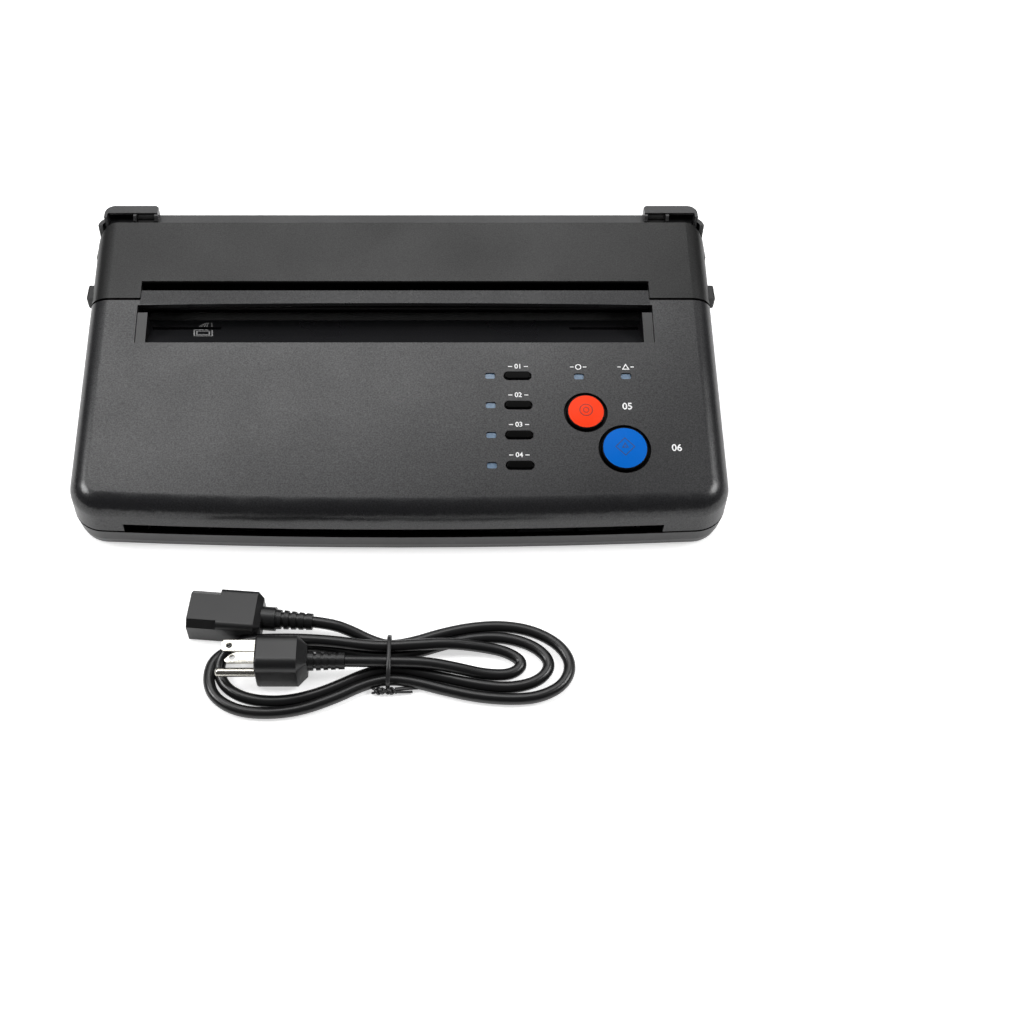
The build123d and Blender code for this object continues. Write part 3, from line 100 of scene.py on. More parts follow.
leadRoute = {
    "diameter": 6.2,
    "sectionSteps": 5,
    "lengthSteps": 8,
    "points": [
        (-46.2, -146.15, 9.0), (-36, -147.2, 8.6), (-26, -149.8, 6.2), (-15, -154.6, 3.6), (-4.8, -157.9, 3.1),
        (8, -155.5, 3.1), (22, -150.5, 3.1), (38, -146.6, 3.1), (55, -145.2, 3.1), (72, -148.2, 3.1),
        (86, -157, 3.1), (91.6, -169, 3.1), (86.5, -181, 3.1), (74, -187.8, 3.1), (60, -189.2, 3.1),
        (42, -187.8, 3.1), (24, -183.5, 3.1), (8, -178.8, 3.1), (-5, -177.1, 3.1), (-18, -180.5, 3.1),
        (-32, -188, 3.1), (-50, -195.2, 3.1), (-68, -197.4, 3.1), (-84, -195.4, 3.1), (-96, -187.6, 3.1),
        (-99.8, -176, 3.1), (-97, -165, 3.1), (-86, -158.6, 3.1), (-70, -156.9, 3.1), (-52, -157, 3.1),
        (-34, -159.5, 3.1), (-18, -163, 3.1), (-5, -164.3, 3.1), (10, -161.5, 3.1), (26, -156, 3.1),
        (42, -152.4, 3.1), (58, -152.5, 3.1), (73, -158, 3.1), (81, -168, 3.1), (75, -178, 3.1),
        (60, -182.8, 3.1), (42, -181, 3.1), (24, -176.5, 3.1), (8, -172.6, 3.1), (-5, -170.8, 3.1),
        (-18, -174.5, 3.1), (-30, -180.8, 3.1), (-44, -187, 3.1), (-60, -190.6, 3.1), (-76, -189.6, 3.1),
        (-87.5, -184.5, 3.1), (-93.4, -176.5, 3.1), (-94.2, -168.5, 4.0), (-89.5, -160.9, 7.0),
        (-79, -157.4, 9.1), (-66, -156.9, 9.3), (-50, -157.0, 9.3), (-34, -158.2, 9.3), (-18, -160.6, 9.3),
        (-5, -161.3, 9.3), (10, -160.3, 9.3), (27, -158.6, 8.2), (44, -158.8, 4.6), (58, -161.2, 3.1),
        (66.5, -168, 3.1), (60, -174.8, 3.1), (46, -175.4, 4.2), (30, -172.9, 7.4), (14, -170.7, 9.3),
        (-5, -170.3, 9.3), (-17, -171.1, 11.2), (-27.8, -171.8, 12.7)],
}

leadCurve = bpy.data.curves.new("mainsLead", "CURVE")
leadCurve.dimensions = "3D"
leadCurve.bevel_depth = 1.0  # each point's radius gives the thickness
leadCurve.bevel_resolution = leadRoute["sectionSteps"]
leadCurve.resolution_u = leadRoute["lengthSteps"]
leadCurve.use_fill_caps = True
leadSpline = leadCurve.splines.new("NURBS")
leadSpline.points.add(len(leadRoute["points"]) - 1)
for point, place in zip(leadSpline.points, leadRoute["points"]):
    point.co = (place[0] * mm, place[1] * mm, place[2] * mm, 1)
    point.radius = leadRoute["diameter"] / 2 * mm
leadSpline.order_u = 3
leadSpline.use_endpoint_u = True
mainsLead = bpy.data.objects.new("mainsLead", leadCurve)
bpy.context.scene.collection.objects.link(mainsLead)
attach(mainsLead, "case")
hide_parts("lead_hank")
print("lead laid")


# where the case's joints and planes lie, for the painted shade along its edges, seams and slots

panel = {"tilt": 13.0, "height": 58.7}  # the control panel, with its height at the middle of the case
hinge = {"y": 90.5, "z": 78.0, "seamRadius": 56.98, "seamShade": 0.75}
paperSlot = {"x": (-149.9, 143.5), "coverFront": 46.3, "tongueFront": 31.2, "tongueShade": 0.4}
partingLine = {"housingEdge": 15.9, "baseEdge": (14.4, 15.1), "rearEnd": 52.0}
skirt = {"top": 6.2, "shade": 0.45}
caps = {
    "stop": {"node": "stop_button", "place": (103.4, -36.15), "faceRadius": 9.8, "slot": "red_cap"},
    "copy": {"node": "copy_button", "place": (123.8, -57.85), "faceRadius": 12.0, "slot": "blue_cap"},
}


def span(low, high, hair=0.01):
    # the middle and half width, in metres, that a Compare node takes for a range in mm:
    # it stays a hair inside, so that a wall standing right at an end is left out
    return {1: (low + high) / 2 * mm, 2: ((high - low) / 2 - hair) * mm}


def hingeDistance(tree, place):
    # distance from the cover's hinge axis, which the seam follows
    offset = addNode(tree, "ShaderNodeVectorMath", {0: place, 1: (0, hinge["y"] * mm, hinge["z"] * mm)},
                     operation="SUBTRACT")
    across = addNode(tree, "ShaderNodeVectorMath", {0: offset, 1: (0, 1, 1)}, operation="MULTIPLY")
    return addNode(tree, "ShaderNodeVectorMath", {0: across}, operation="LENGTH").outputs["Value"]


def housingShadow(tree, place):
    # painted shade: near black along the cover's seam and the parting line, and a cut gloss that paints the tongue
    # before the paper slot darker
    x, y, z = addNode(tree, "ShaderNodeSeparateXYZ", {0: place}).outputs
    inSlot = addNode(tree, "ShaderNodeMath", {0: x, **span(*paperSlot["x"])}, operation="COMPARE")
    nearSeam = addNode(tree, "ShaderNodeMath",
                       {0: hingeDistance(tree, place), 1: (hinge["seamRadius"] + hinge["seamShade"]) * mm},
                       operation="LESS_THAN")
    seam = addNode(tree, "ShaderNodeMath", {0: nearSeam, 1: inSlot}, operation="SUBTRACT", use_clamp=True)
    lowEdge = addNode(tree, "ShaderNodeMath", {0: z, 1: partingLine["housingEdge"] * mm}, operation="LESS_THAN")
    edges = addNode(tree, "ShaderNodeMath", {0: seam, 1: lowEdge}, operation="MAXIMUM")
    behind = addNode(tree, "ShaderNodeMath", {0: y, 1: paperSlot["tongueFront"] * mm}, operation="GREATER_THAN")
    tongue = addNode(tree, "ShaderNodeMath", {0: behind, 1: inSlot}, operation="MULTIPLY")
    paintedTongueShade = addNode(tree, "ShaderNodeMath", {0: tongue, 1: paperSlot["tongueShade"]}, operation="MULTIPLY")
    return addNode(tree, "ShaderNodeMath", {0: edges, 1: paintedTongueShade}, operation="MAXIMUM")


def baseShadow(tree, place):
    # painted shade: near black along the edge under the parting line, and the walls' gloss cut so that they read
    # darker than the skirt at their foot, which catches the floor's light
    x, y, z = addNode(tree, "ShaderNodeSeparateXYZ", {0: place}).outputs
    aboveSkirt = addNode(tree, "ShaderNodeMath", {0: z, 1: skirt["top"] * mm}, operation="GREATER_THAN")
    walls = addNode(tree, "ShaderNodeMath", {0: aboveSkirt, 1: skirt["shade"]}, operation="MULTIPLY")
    level = addNode(tree, "ShaderNodeMath", {0: z, **span(*partingLine["baseEdge"])}, operation="COMPARE")
    ahead = addNode(tree, "ShaderNodeMath", {0: y, 1: partingLine["rearEnd"] * mm}, operation="LESS_THAN")
    edge = addNode(tree, "ShaderNodeMath", {0: level, 1: ahead}, operation="MULTIPLY")
    return addNode(tree, "ShaderNodeMath", {0: walls, 1: edge}, operation="MAXIMUM")


def coverShadow(tree, place):
    # painted shade: near black on the cover's edges along its seam and inside the paper slot
    x, y, z = addNode(tree, "ShaderNodeSeparateXYZ", {0: place}).outputs
    seam = addNode(tree, "ShaderNodeMath",
                   {0: hingeDistance(tree, place), 1: (hinge["seamRadius"] - hinge["seamShade"]) * mm},
                   operation="GREATER_THAN")
    front = addNode(tree, "ShaderNodeMath", {0: y, 1: paperSlot["coverFront"] * mm}, operation="LESS_THAN")
    inSlot = addNode(tree, "ShaderNodeMath", {0: x, **span(*paperSlot["x"])}, operation="COMPARE")
    slotEdge = addNode(tree, "ShaderNodeMath", {0: front, 1: inSlot}, operation="MULTIPLY")
    return addNode(tree, "ShaderNodeMath", {0: seam, 1: slotEdge}, operation="MAXIMUM")


def capShadow(cap):
    # painted shade: a near-black ring round a coloured cap, all that lies outside its face, for the shadow in the gap
    # round it
    tilt = radians(panel["tilt"])
    x, y = cap["place"]
    centre = Vector((x, y, panel["height"] + tan(tilt) * y)) * mm
    upright = (0, -sin(tilt), cos(tilt))

    def ring(tree, place):
        offset = addNode(tree, "ShaderNodeVectorMath", {0: place, 1: centre}, operation="SUBTRACT")
        around = addNode(tree, "ShaderNodeVectorMath", {0: offset, 1: upright}, operation="CROSS_PRODUCT")
        reach = addNode(tree, "ShaderNodeVectorMath", {0: around}, operation="LENGTH").outputs["Value"]
        return addNode(tree, "ShaderNodeMath", {0: reach, 1: cap["faceRadius"] * mm}, operation="GREATER_THAN")
    return ring


# materials: noise lies mostly between these two values, so the ranges are stretched from them

noiseSpread = {"From Min": 0.3, "From Max": 0.7}
# the last two set the painted shade: its near-black colour, and the mask level from which a face turns that black
mouldedSkin = {"tint": 0.06, "grainDepth": 0.04, "patch": 55, "smoother": 0.04, "rougher": 0.05,
               "shadeBlack": "070707", "shadeFrom": 0.9}


def mouldedPlastic(name, colour, roughness, grain=0.35, bump=0.25, shine=0.5, speckle=0.0, shadow=None):
    # moulded in an eroded tool: fine matt grain, and a slightly uneven sheen where hands wipe it
    material, tree = newMaterial(name)
    place = addNode(tree, "ShaderNodeTexCoord").outputs["Object"]
    fine = addNode(tree, "ShaderNodeTexNoise",
                   {"Vector": place, "Scale": 1 / (grain * mm), "Detail": 2.0, "Roughness": 0.6})
    broad = addNode(tree, "ShaderNodeTexNoise",
                    {"Vector": place, "Scale": 1 / (mouldedSkin["patch"] * mm), "Detail": 3.0, "Roughness": 0.55})
    sheen = addNode(tree, "ShaderNodeMapRange",
                    {"Value": broad, **noiseSpread, "To Min": roughness - mouldedSkin["smoother"],
                     "To Max": roughness + mouldedSkin["rougher"]})
    relief = addNode(tree, "ShaderNodeBump",
                     {"Height": fine, "Strength": bump, "Distance": mouldedSkin["grainDepth"] * mm})
    tint = addNode(tree, "ShaderNodeMix",
                   {0: fine, 6: toLinear(colour, 1 - mouldedSkin["tint"]),
                    7: toLinear(colour, 1 + mouldedSkin["tint"])}, data_type="RGBA")
    pigment, gloss = tint.outputs[2], shine
    if speckle:
        # the facets of the grain glint unevenly
        gloss = addNode(tree, "ShaderNodeMapRange",
                        {"Value": fine, **noiseSpread, "To Min": shine * (1 - speckle),
                         "To Max": shine * (1 + speckle)})
    if shadow:
        # painted shade: where the mask is full the colour turns near black, for the shade in a joint, gap or slot; a
        # partial mask keeps the colour and, on a speckled finish, cuts the gloss to paint the face darker
        paintedShade = shadow(tree, place)
        black = addNode(tree, "ShaderNodeMath", {0: paintedShade, 1: mouldedSkin["shadeFrom"]}, operation="GREATER_THAN")
        pigment = addNode(tree, "ShaderNodeMix", {0: black, 6: pigment, 7: toLinear(mouldedSkin["shadeBlack"])},
                          data_type="RGBA").outputs[2]
        if speckle:
            lit = addNode(tree, "ShaderNodeMath", {0: 1.0, 1: paintedShade}, operation="SUBTRACT")
            gloss = addNode(tree, "ShaderNodeMath", {0: lit, 1: gloss}, operation="MULTIPLY")
    shader = addNode(tree, "ShaderNodeBsdfPrincipled",
                     {"Base Color": pigment, "Roughness": sheen, "IOR": 1.54, "Specular IOR Level": gloss,
                      "Normal": relief})
    addNode(tree, "ShaderNodeOutputMaterial", {"Surface": shader})
    return material


metalSkin = {"grain": 0.5, "smoother": 0.07, "rougher": 0.09, "relief": 0.15, "depth": 0.02}


def metalSurface(name, colour, roughness, stretch=(1, 1, 1)):
    # rolled, turned or plated metal: its direction shows as fine streaks in the gloss
    material, tree = newMaterial(name)
    place = addNode(tree, "ShaderNodeTexCoord").outputs["Object"]
    along = addNode(tree, "ShaderNodeMapping", {"Vector": place, "Scale": stretch})
    streaks = addNode(tree, "ShaderNodeTexNoise",
                      {"Vector": along, "Scale": 1 / (metalSkin["grain"] * mm), "Detail": 3.0})
    gloss = addNode(tree, "ShaderNodeMapRange",
                    {"Value": streaks, **noiseSpread, "To Min": roughness - metalSkin["smoother"],
                     "To Max": roughness + metalSkin["rougher"]})
    relief = addNode(tree, "ShaderNodeBump",
                     {"Height": streaks, "Strength": metalSkin["relief"], "Distance": metalSkin["depth"] * mm})
    shader = addNode(tree, "ShaderNodeBsdfPrincipled",
                     {"Base Color": toLinear(colour), "Metallic": 1.0, "Roughness": gloss, "Normal": relief})
    addNode(tree, "ShaderNodeOutputMaterial", {"Surface": shader})
    return material


rubberSkin = {"darker": 0.9, "paler": 1.12, "relief": 0.35, "depth": 0.05}


def softRubber(name, colour, roughness=0.75, grain=0.6):
    # ground or moulded rubber: matt, with a fine nap and no clear highlight
    material, tree = newMaterial(name)
    place = addNode(tree, "ShaderNodeTexCoord").outputs["Object"]
    nap = addNode(tree, "ShaderNodeTexNoise", {"Vector": place, "Scale": 1 / (grain * mm), "Detail": 4.0})
    relief = addNode(tree, "ShaderNodeBump",
                     {"Height": nap, "Strength": rubberSkin["relief"], "Distance": rubberSkin["depth"] * mm})
    shade = addNode(tree, "ShaderNodeMix",
                    {0: nap, 6: toLinear(colour, rubberSkin["darker"]), 7: toLinear(colour, rubberSkin["paler"])},
                    data_type="RGBA")
    shader = addNode(tree, "ShaderNodeBsdfPrincipled",
                     {"Base Color": shade.outputs[2], "Roughness": roughness, "IOR": 1.5, "Normal": relief})
    addNode(tree, "ShaderNodeOutputMaterial", {"Surface": shader})
    return material


inkFilm = {"grain": 0.4, "thin": 0.9}


def printedInk(name, colour, roughness=0.5):
    # pad-printed ink: a thin even film, a little duller than the plastic round it
    material, tree = newMaterial(name)
    place = addNode(tree, "ShaderNodeTexCoord").outputs["Object"]
    film = addNode(tree, "ShaderNodeTexNoise", {"Vector": place, "Scale": 1 / (inkFilm["grain"] * mm), "Detail": 1.0})
    tint = addNode(tree, "ShaderNodeMix", {0: film, 6: toLinear(colour, inkFilm["thin"]), 7: toLinear(colour)},
                   data_type="RGBA")
    shader = addNode(tree, "ShaderNodeBsdfPrincipled",
                     {"Base Color": tint.outputs[2], "Roughness": roughness, "IOR": 1.5})
    addNode(tree, "ShaderNodeOutputMaterial", {"Surface": shader})
    return material


board = {"field": "0b4a28", "fieldPaler": "0f5a33", "overTrack": "1c7a48", "pattern": 26, "track": 0.03,
         "trackLength": 0.6, "trackPitch": 0.12, "relief": 0.4, "depth": 0.05}


def printedBoard(name):
    # solder mask over copper tracks: thin raised lines under a glossy green coat
    material, tree = newMaterial(name)
    place = addNode(tree, "ShaderNodeTexCoord").outputs["Object"]
    tracks = addNode(tree, "ShaderNodeTexBrick",
                     {"Vector": place, "Scale": 1 / (board["pattern"] * mm), "Mortar Size": board["track"],
                      "Brick Width": board["trackLength"], "Row Height": board["trackPitch"],
                      "Color1": toLinear(board["field"]), "Color2": toLinear(board["fieldPaler"]),
                      "Mortar": toLinear(board["overTrack"])})
    relief = addNode(tree, "ShaderNodeBump",
                     {"Height": tracks.outputs["Fac"], "Strength": board["relief"], "Distance": board["depth"] * mm})
    shader = addNode(tree, "ShaderNodeBsdfPrincipled",
                     {"Base Color": tracks.outputs["Color"], "Roughness": 0.35, "IOR": 1.52, "Normal": relief})
    addNode(tree, "ShaderNodeOutputMaterial", {"Surface": shader})
    return material


lens = {"deep": "48607a", "pale": "6f88a0", "cloud": 1.6, "milk": 0.2, "milkDepth": 1.0}


def milkyLens(name):
    # pale polycarbonate light pipe, unlit: a milky blue-grey body under a smooth skin
    material, tree = newMaterial(name)
    place = addNode(tree, "ShaderNodeTexCoord").outputs["Object"]
    cloud = addNode(tree, "ShaderNodeTexNoise", {"Vector": place, "Scale": 1 / (lens["cloud"] * mm), "Detail": 1.0})
    tint = addNode(tree, "ShaderNodeMix", {0: cloud, 6: toLinear(lens["deep"]), 7: toLinear(lens["pale"])},
                   data_type="RGBA")
    shader = addNode(tree, "ShaderNodeBsdfPrincipled",
                     {"Base Color": tint.outputs[2], "Roughness": 0.2, "IOR": 1.58, "Subsurface Weight": lens["milk"],
                      "Subsurface Radius": [lens["milkDepth"] * mm] * 3})
    addNode(tree, "ShaderNodeOutputMaterial", {"Surface": shader})
    return material


def clearGlass(name):
    # float glass over the scanner: clear, with a faint green cast and sharp reflections
    material, tree = newMaterial(name)
    shader = addNode(tree, "ShaderNodeBsdfPrincipled",
                     {"Base Color": toLinear("d8e6e2"), "Roughness": 0.04, "IOR": 1.52, "Transmission Weight": 0.9})
    addNode(tree, "ShaderNodeOutputMaterial", {"Surface": shader})
    return material


# the case's erosion grain is about 0.1 mm in reality, and is drawn coarser so that it shows

plastics = {
    # grained ABS: satin black, its specks glinting under the soft box
    "mouldedAbsHousing": {"colour": "1c1c1e", "roughness": 0.3, "grain": 0.8, "bump": 0.3, "speckle": 0.32,
                          "shadow": housingShadow},
    "mouldedAbsCover": {"colour": "191919", "roughness": 0.36, "grain": 0.7, "bump": 0.3, "shine": 0.34,
                        "speckle": 0.22, "shadow": coverShadow},
    "mouldedAbsBase": {"colour": "2a2a2b", "roughness": 0.36, "grain": 0.8, "bump": 0.3, "shine": 1.0,
                       "speckle": 0.1, "shadow": baseShadow},
    "mouldedBlackPlastic": {"colour": "101011", "roughness": 0.38, "grain": 0.3},  # ABS with a finer, evener matt
    # ABS from a polished tool: deep black keys with hardly any grain
    "polishedBlackKeys": {"colour": "020202", "roughness": 0.2, "bump": 0.04, "shine": 0.04},
    # ABS coloured right through: strong even colour under a satin skin, with a near-black ring of painted shade round
    # each cap's face
    "satinRedCap": {"colour": "ff4017", "roughness": 0.4, "bump": 0.08, "shine": 0.12,
                    "shadow": capShadow(caps["stop"])},
    "satinBlueCap": {"colour": "0066c8", "roughness": 0.4, "bump": 0.08, "shine": 0.06,
                     "shadow": capShadow(caps["copy"])},
    # acetal: waxy and slippery, a soft broad highlight
    "blackAcetal": {"colour": "141415", "roughness": 0.3, "grain": 0.8, "bump": 0.1},
    "naturalAcetal": {"colour": "dedcd2", "roughness": 0.3, "grain": 0.8, "bump": 0.1},
    "mouldedGreyPaperGuide": {"colour": "4c4c4e", "roughness": 0.42, "grain": 0.7, "bump": 0.1},  # grey matt ABS
    "oiledBearingPlastic": {"colour": "cfc9b8", "roughness": 0.36, "grain": 0.8, "bump": 0.1},  # cream, oil-damp
    "phenolicBoardParts": {"colour": "8a6a3a", "roughness": 0.5, "grain": 0.9},  # brown, dull and slightly fibrous
    "greyRibbonCable": {"colour": "8d8f91", "roughness": 0.45, "grain": 0.6},  # extruded PVC, soft grey
    "mouldedBlackNylon": {"colour": "0f0f10", "roughness": 0.36, "grain": 0.4},  # black with a faint bloom
    # PVC of the lead: moulded ends with a visible grain, and a smoother extruded sheath with a long highlight
    "mouldedPvcBlack": {"colour": "121213", "roughness": 0.36, "grain": 0.5, "bump": 0.18},
    "extrudedPvcSheath": {"colour": "101011", "roughness": 0.30, "grain": 0.9, "bump": 0.1},
    "coatedTwistWire": {"colour": "262627", "roughness": 0.35, "grain": 0.5, "bump": 0.1},  # plastic over wire, paler
    "chipLampWhite": {"colour": "d8d8cc", "roughness": 0.3},  # small white lamp bodies
    "glazedPrintCeramic": {"colour": "8f8370", "roughness": 0.14, "grain": 1.2, "bump": 0.05},  # fired glaze, glossy
}
metals = {
    "zincPlatedSheet": {"colour": "a9acae", "roughness": 0.34, "stretch": (0.15, 1, 1)},  # rolled: long pale streaks
    "turnedSteel": {"colour": "b9b9ba", "roughness": 0.22, "stretch": (6, 1, 1)},  # fine rings round the shaft
    "zincPlatedCan": {"colour": "8e9092", "roughness": 0.36},  # drawn steel: even cool grey
    "turnedBrass": {"colour": "c9a250", "roughness": 0.24},  # warm yellow and bright
    "nickelPlatedBrass": {"colour": "c6c3bb", "roughness": 0.2, "stretch": (0.2, 1, 1)},  # warm silver, stamped
    "extrudedAluminium": {"colour": "c0c3c5", "roughness": 0.3, "stretch": (0.05, 1, 1)},  # very long die lines
}
rubbers = {
    "mouldedBlackRubber": {"colour": "131313"},  # dull feet
    "groundBlackRubber": {"colour": "0e0e0e", "grain": 0.4},  # velvety roller face
    "whiteSilicone": {"colour": "dedcd6", "roughness": 0.6},  # slightly waxy white
}
inks = {
    "padPrintedWhite": {"colour": "ffffff"},  # crisp white on the panel
    "iconLinesPaintedHighlight": {"colour": "b0b0b0", "roughness": 0.4},  # the pictogram's raised lines, inked pale grey as a painted highlight where they catch the light
    "engravedRedLine": {"colour": "8e1c0a"},  # darker lines cut in the caps
    "engravedBlueLine": {"colour": "013a78"},
}

finish = {}
for make, recipes in ((mouldedPlastic, plastics), (metalSurface, metals), (softRubber, rubbers), (printedInk, inks)):
    for name, recipe in recipes.items():
        finish[name] = make(name, **recipe)
finish["greenSolderMask"] = printedBoard("greenSolderMask")
finish["milkyPolycarbonate"] = milkyLens("milkyPolycarbonate")
finish["clearSensorGlass"] = clearGlass("clearSensorGlass")

dressed = {
    "mouldedAbsHousing": ["front_housing"],
    "mouldedAbsCover": ["rear_cover"],
    "mouldedAbsBase": ["base_tray"],
    "mouldedBlackPlastic": ["latch_left", "latch_right", "power_rocker"],
    "polishedBlackKeys": ["mode_key_1", "mode_key_2", "mode_key_3", "mode_key_4"],
    "satinRedCap": ["stop_button"],
    "satinBlueCap": ["copy_button"],
    "milkyPolycarbonate": ["lamp_windows"],
    "blackAcetal": ["guide_left", "guide_right"],
    "naturalAcetal": ["guide_pinion", "feed_gear", "platen_gear", "scan_gear", "idler_gear"],
    "mouldedGreyPaperGuide": ["paper_guide"],
    "oiledBearingPlastic": ["shaft_bushings"],
    "phenolicBoardParts": ["power_supply"],
    "greyRibbonCable": ["panel_cable"],
    "mouldedBlackNylon": ["panel_switches", "image_sensor", "mains_inlet", "switch_body", "lead_tie"],
    "mouldedPvcBlack": ["lead_connector", "lead_plug"],
    "chipLampWhite": ["panel_lamps"],
    "glazedPrintCeramic": ["print_strip"],
    "greenSolderMask": ["panel_board", "main_board"],
    "clearSensorGlass": ["sensor_glass"],
    "zincPlatedSheet": ["pinion_keeper", "side_plate_left", "side_plate_right", "head_bracket", "electronics_tray"],
    "turnedSteel": ["hinge_pins", "case_screws", "feed_shaft", "platen_shaft", "scan_shaft", "idler_stud",
                    "head_springs"],
    "zincPlatedCan": ["motor"],
    "turnedBrass": ["motor_pinion"],
    "nickelPlatedBrass": ["inlet_pins", "plug_blades"],
    "extrudedAluminium": ["heat_sink"],
    "mouldedBlackRubber": ["rubber_feet"],
    "groundBlackRubber": ["feed_roller", "platen_roller"],
    "whiteSilicone": ["scan_roller"],
}
softEdges = {"weld": 0.002, "sharpAngle": 32}


def softenFaces(part):
    # soft shading over rounded faces, with edges over the sharp angle kept crisp
    part.data.polygons.foreach_set("use_smooth", [True] * len(part.data.polygons))
    weld = part.modifiers.new("weld", "WELD")
    weld.merge_threshold = softEdges["weld"] * mm
    split = part.modifiers.new("split", "EDGE_SPLIT")
    split.split_angle = radians(softEdges["sharpAngle"])
    weighted = part.modifiers.new("weighted", "WEIGHTED_NORMAL")
    weighted.keep_sharp = True


for name, nodeNames in dressed.items():
    for nodeName in nodeNames:
        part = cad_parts[nodeName]
        part.data.materials.clear()
        part.data.materials.append(finish[name])
        softenFaces(part)
leadCurve.materials.append(finish["extrudedPvcSheath"])
print("materials assigned")


# marks on the panel, the recess floor and the two round caps

def strokeFilm(strokes, width, depth):
    # thin solid film from centre lines: each stroke is (points in mm, closed)
    shape = bmesh.new()
    for points, closed in strokes:
        line = [Vector(p) for p in points]
        count = len(line)
        sides = []
        for k in range(count):
            before = line[(k - 1) % count] if closed or k > 0 else line[k] * 2 - line[k + 1]
            after = line[(k + 1) % count] if closed or k < count - 1 else line[k] * 2 - line[k - 1]
            a = (line[k] - before).normalized()
            b = (after - line[k]).normalized()
            mitre = Vector((-(a + b).y, (a + b).x)).normalized()
            reach = mitre * (width / 2 / max(0.4, mitre.dot(Vector((-a.y, a.x)))))  # sharp mitres are cut short
            sides.append([shape.verts.new(((line[k] + reach * way) * mm).to_3d()) for way in (1, -1)])
        for k in range(count if closed else count - 1):
            after = sides[(k + 1) % count]
            shape.faces.new((sides[k][0], sides[k][1], after[1], after[0]))
    raised = bmesh.ops.extrude_face_region(shape, geom=list(shape.faces))["geom"]
    top = [v for v in raised if isinstance(v, bmesh.types.BMVert)]
    bmesh.ops.translate(shape, verts=top, vec=(0, 0, depth * mm))
    bmesh.ops.recalc_face_normals(shape, faces=list(shape.faces))
    film = bpy.data.meshes.new("film")
    shape.to_mesh(film)
    shape.free()
    return film


def numeralFilm(words, height, depth):
    curve = bpy.data.curves.new("numerals", "FONT")
    curve.body = words
    curve.size = height / 0.73 * mm  # a numeral stands 0.73 of the font's size
    curve.align_x = "CENTER"
    curve.align_y = "CENTER"
    curve.extrude = depth / 2 * mm
    curve.offset = 0.02 * height * mm  # a little bolder than the plain font
    curve.resolution_u = 4
    holder = bpy.data.objects.new("numerals", curve)
    film = bpy.data.meshes.new_from_object(holder)
    bpy.data.objects.remove(holder)
    film.transform(Matrix.Translation((0, 0, depth / 2 * mm)))
    return film


def joined(films):
    shape = bmesh.new()
    for film in films:
        shape.from_mesh(film)
    whole = bpy.data.meshes.new("film")
    shape.to_mesh(whole)
    shape.free()
    return whole


probe = {"from": 120, "over": 4, "reach": 9, "lift": 0.01}


def layOn(film, nodeName, place, tilt):
    # the film comes down on the node's surface: every point keeps its own height over what lies under it
    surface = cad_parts[nodeName].data
    tree = BVHTree.FromPolygons([v.co for v in surface.vertices], [p.vertices for p in surface.polygons])
    turn = Matrix.Rotation(radians(tilt), 3, "X")
    out = turn @ Vector((0, 0, 1))
    centre = tree.ray_cast(Vector((place[0], place[1], probe["from"])) * mm, Vector((0, 0, -1)))[0]
    for v in film.vertices:
        above = centre + turn @ Vector((v.co.x, v.co.y, 0)) + out * probe["over"] * mm
        hit = tree.ray_cast(above, -out, probe["reach"] * mm)[0]
        v.co = (hit or above - out * probe["over"] * mm) + out * (v.co.z + probe["lift"] * mm)
    film.update()
    return film


def sideBars(inner, outer):
    return [([(-outer, 0), (-inner, 0)], False), ([(inner, 0), (outer, 0)], False)]


def circle(radius, count, centre=(0, 0)):
    # points round a centre from the top: three give a triangle, four a diamond
    turns = [radians(90 + 360 * k / count) for k in range(count)]
    return [(centre[0] + radius * cos(turn), centre[1] + radius * sin(turn)) for turn in turns]


panelPrint = {"line": 0.5, "film": 0.04}
keyLabels = {"height": 3.0, "bars": (3.3, 5.6),
             "places": [(66.5, -8.15), (66.2, -25.65), (66.1, -43.45), (65.8, -61.45)]}
for number, place in enumerate(keyLabels["places"], 1):
    numerals = numeralFilm("0%d" % number, keyLabels["height"], panelPrint["film"])
    bars = strokeFilm(sideBars(*keyLabels["bars"]), panelPrint["line"], panelPrint["film"])
    mark = layOn(joined([numerals, bars]), "front_housing", place, panel["tilt"])
    newPiece("keyLabel%d" % number, mark, finish["padPrintedWhite"], "case")

buttonLabels = {"height": 4.2, "places": [(126.7, -32.65), (152.4, -57.35)]}
for number, place in enumerate(buttonLabels["places"], 5):
    numerals = numeralFilm("0%d" % number, buttonLabels["height"], panelPrint["film"])
    mark = layOn(numerals, "front_housing", place, panel["tilt"])
    newPiece("buttonLabel%d" % number, mark, finish["padPrintedWhite"], "case")

lampMarks = {
    "power": {"place": (100.4, -8.45), "shape": circle(1.5, 28), "bars": (2.6, 4.6)},
    "error": {"place": (127.1, -8.45), "shape": circle(2.0, 3, (0, -0.4)), "bars": (2.8, 4.6)},
}
for name, lamp in lampMarks.items():
    strokes = [(lamp["shape"], True)] + sideBars(*lamp["bars"])
    film = strokeFilm(strokes, panelPrint["line"], panelPrint["film"])
    mark = layOn(film, "front_housing", lamp["place"], panel["tilt"])
    newPiece(name + "LampMark", mark, finish["padPrintedWhite"], "case")

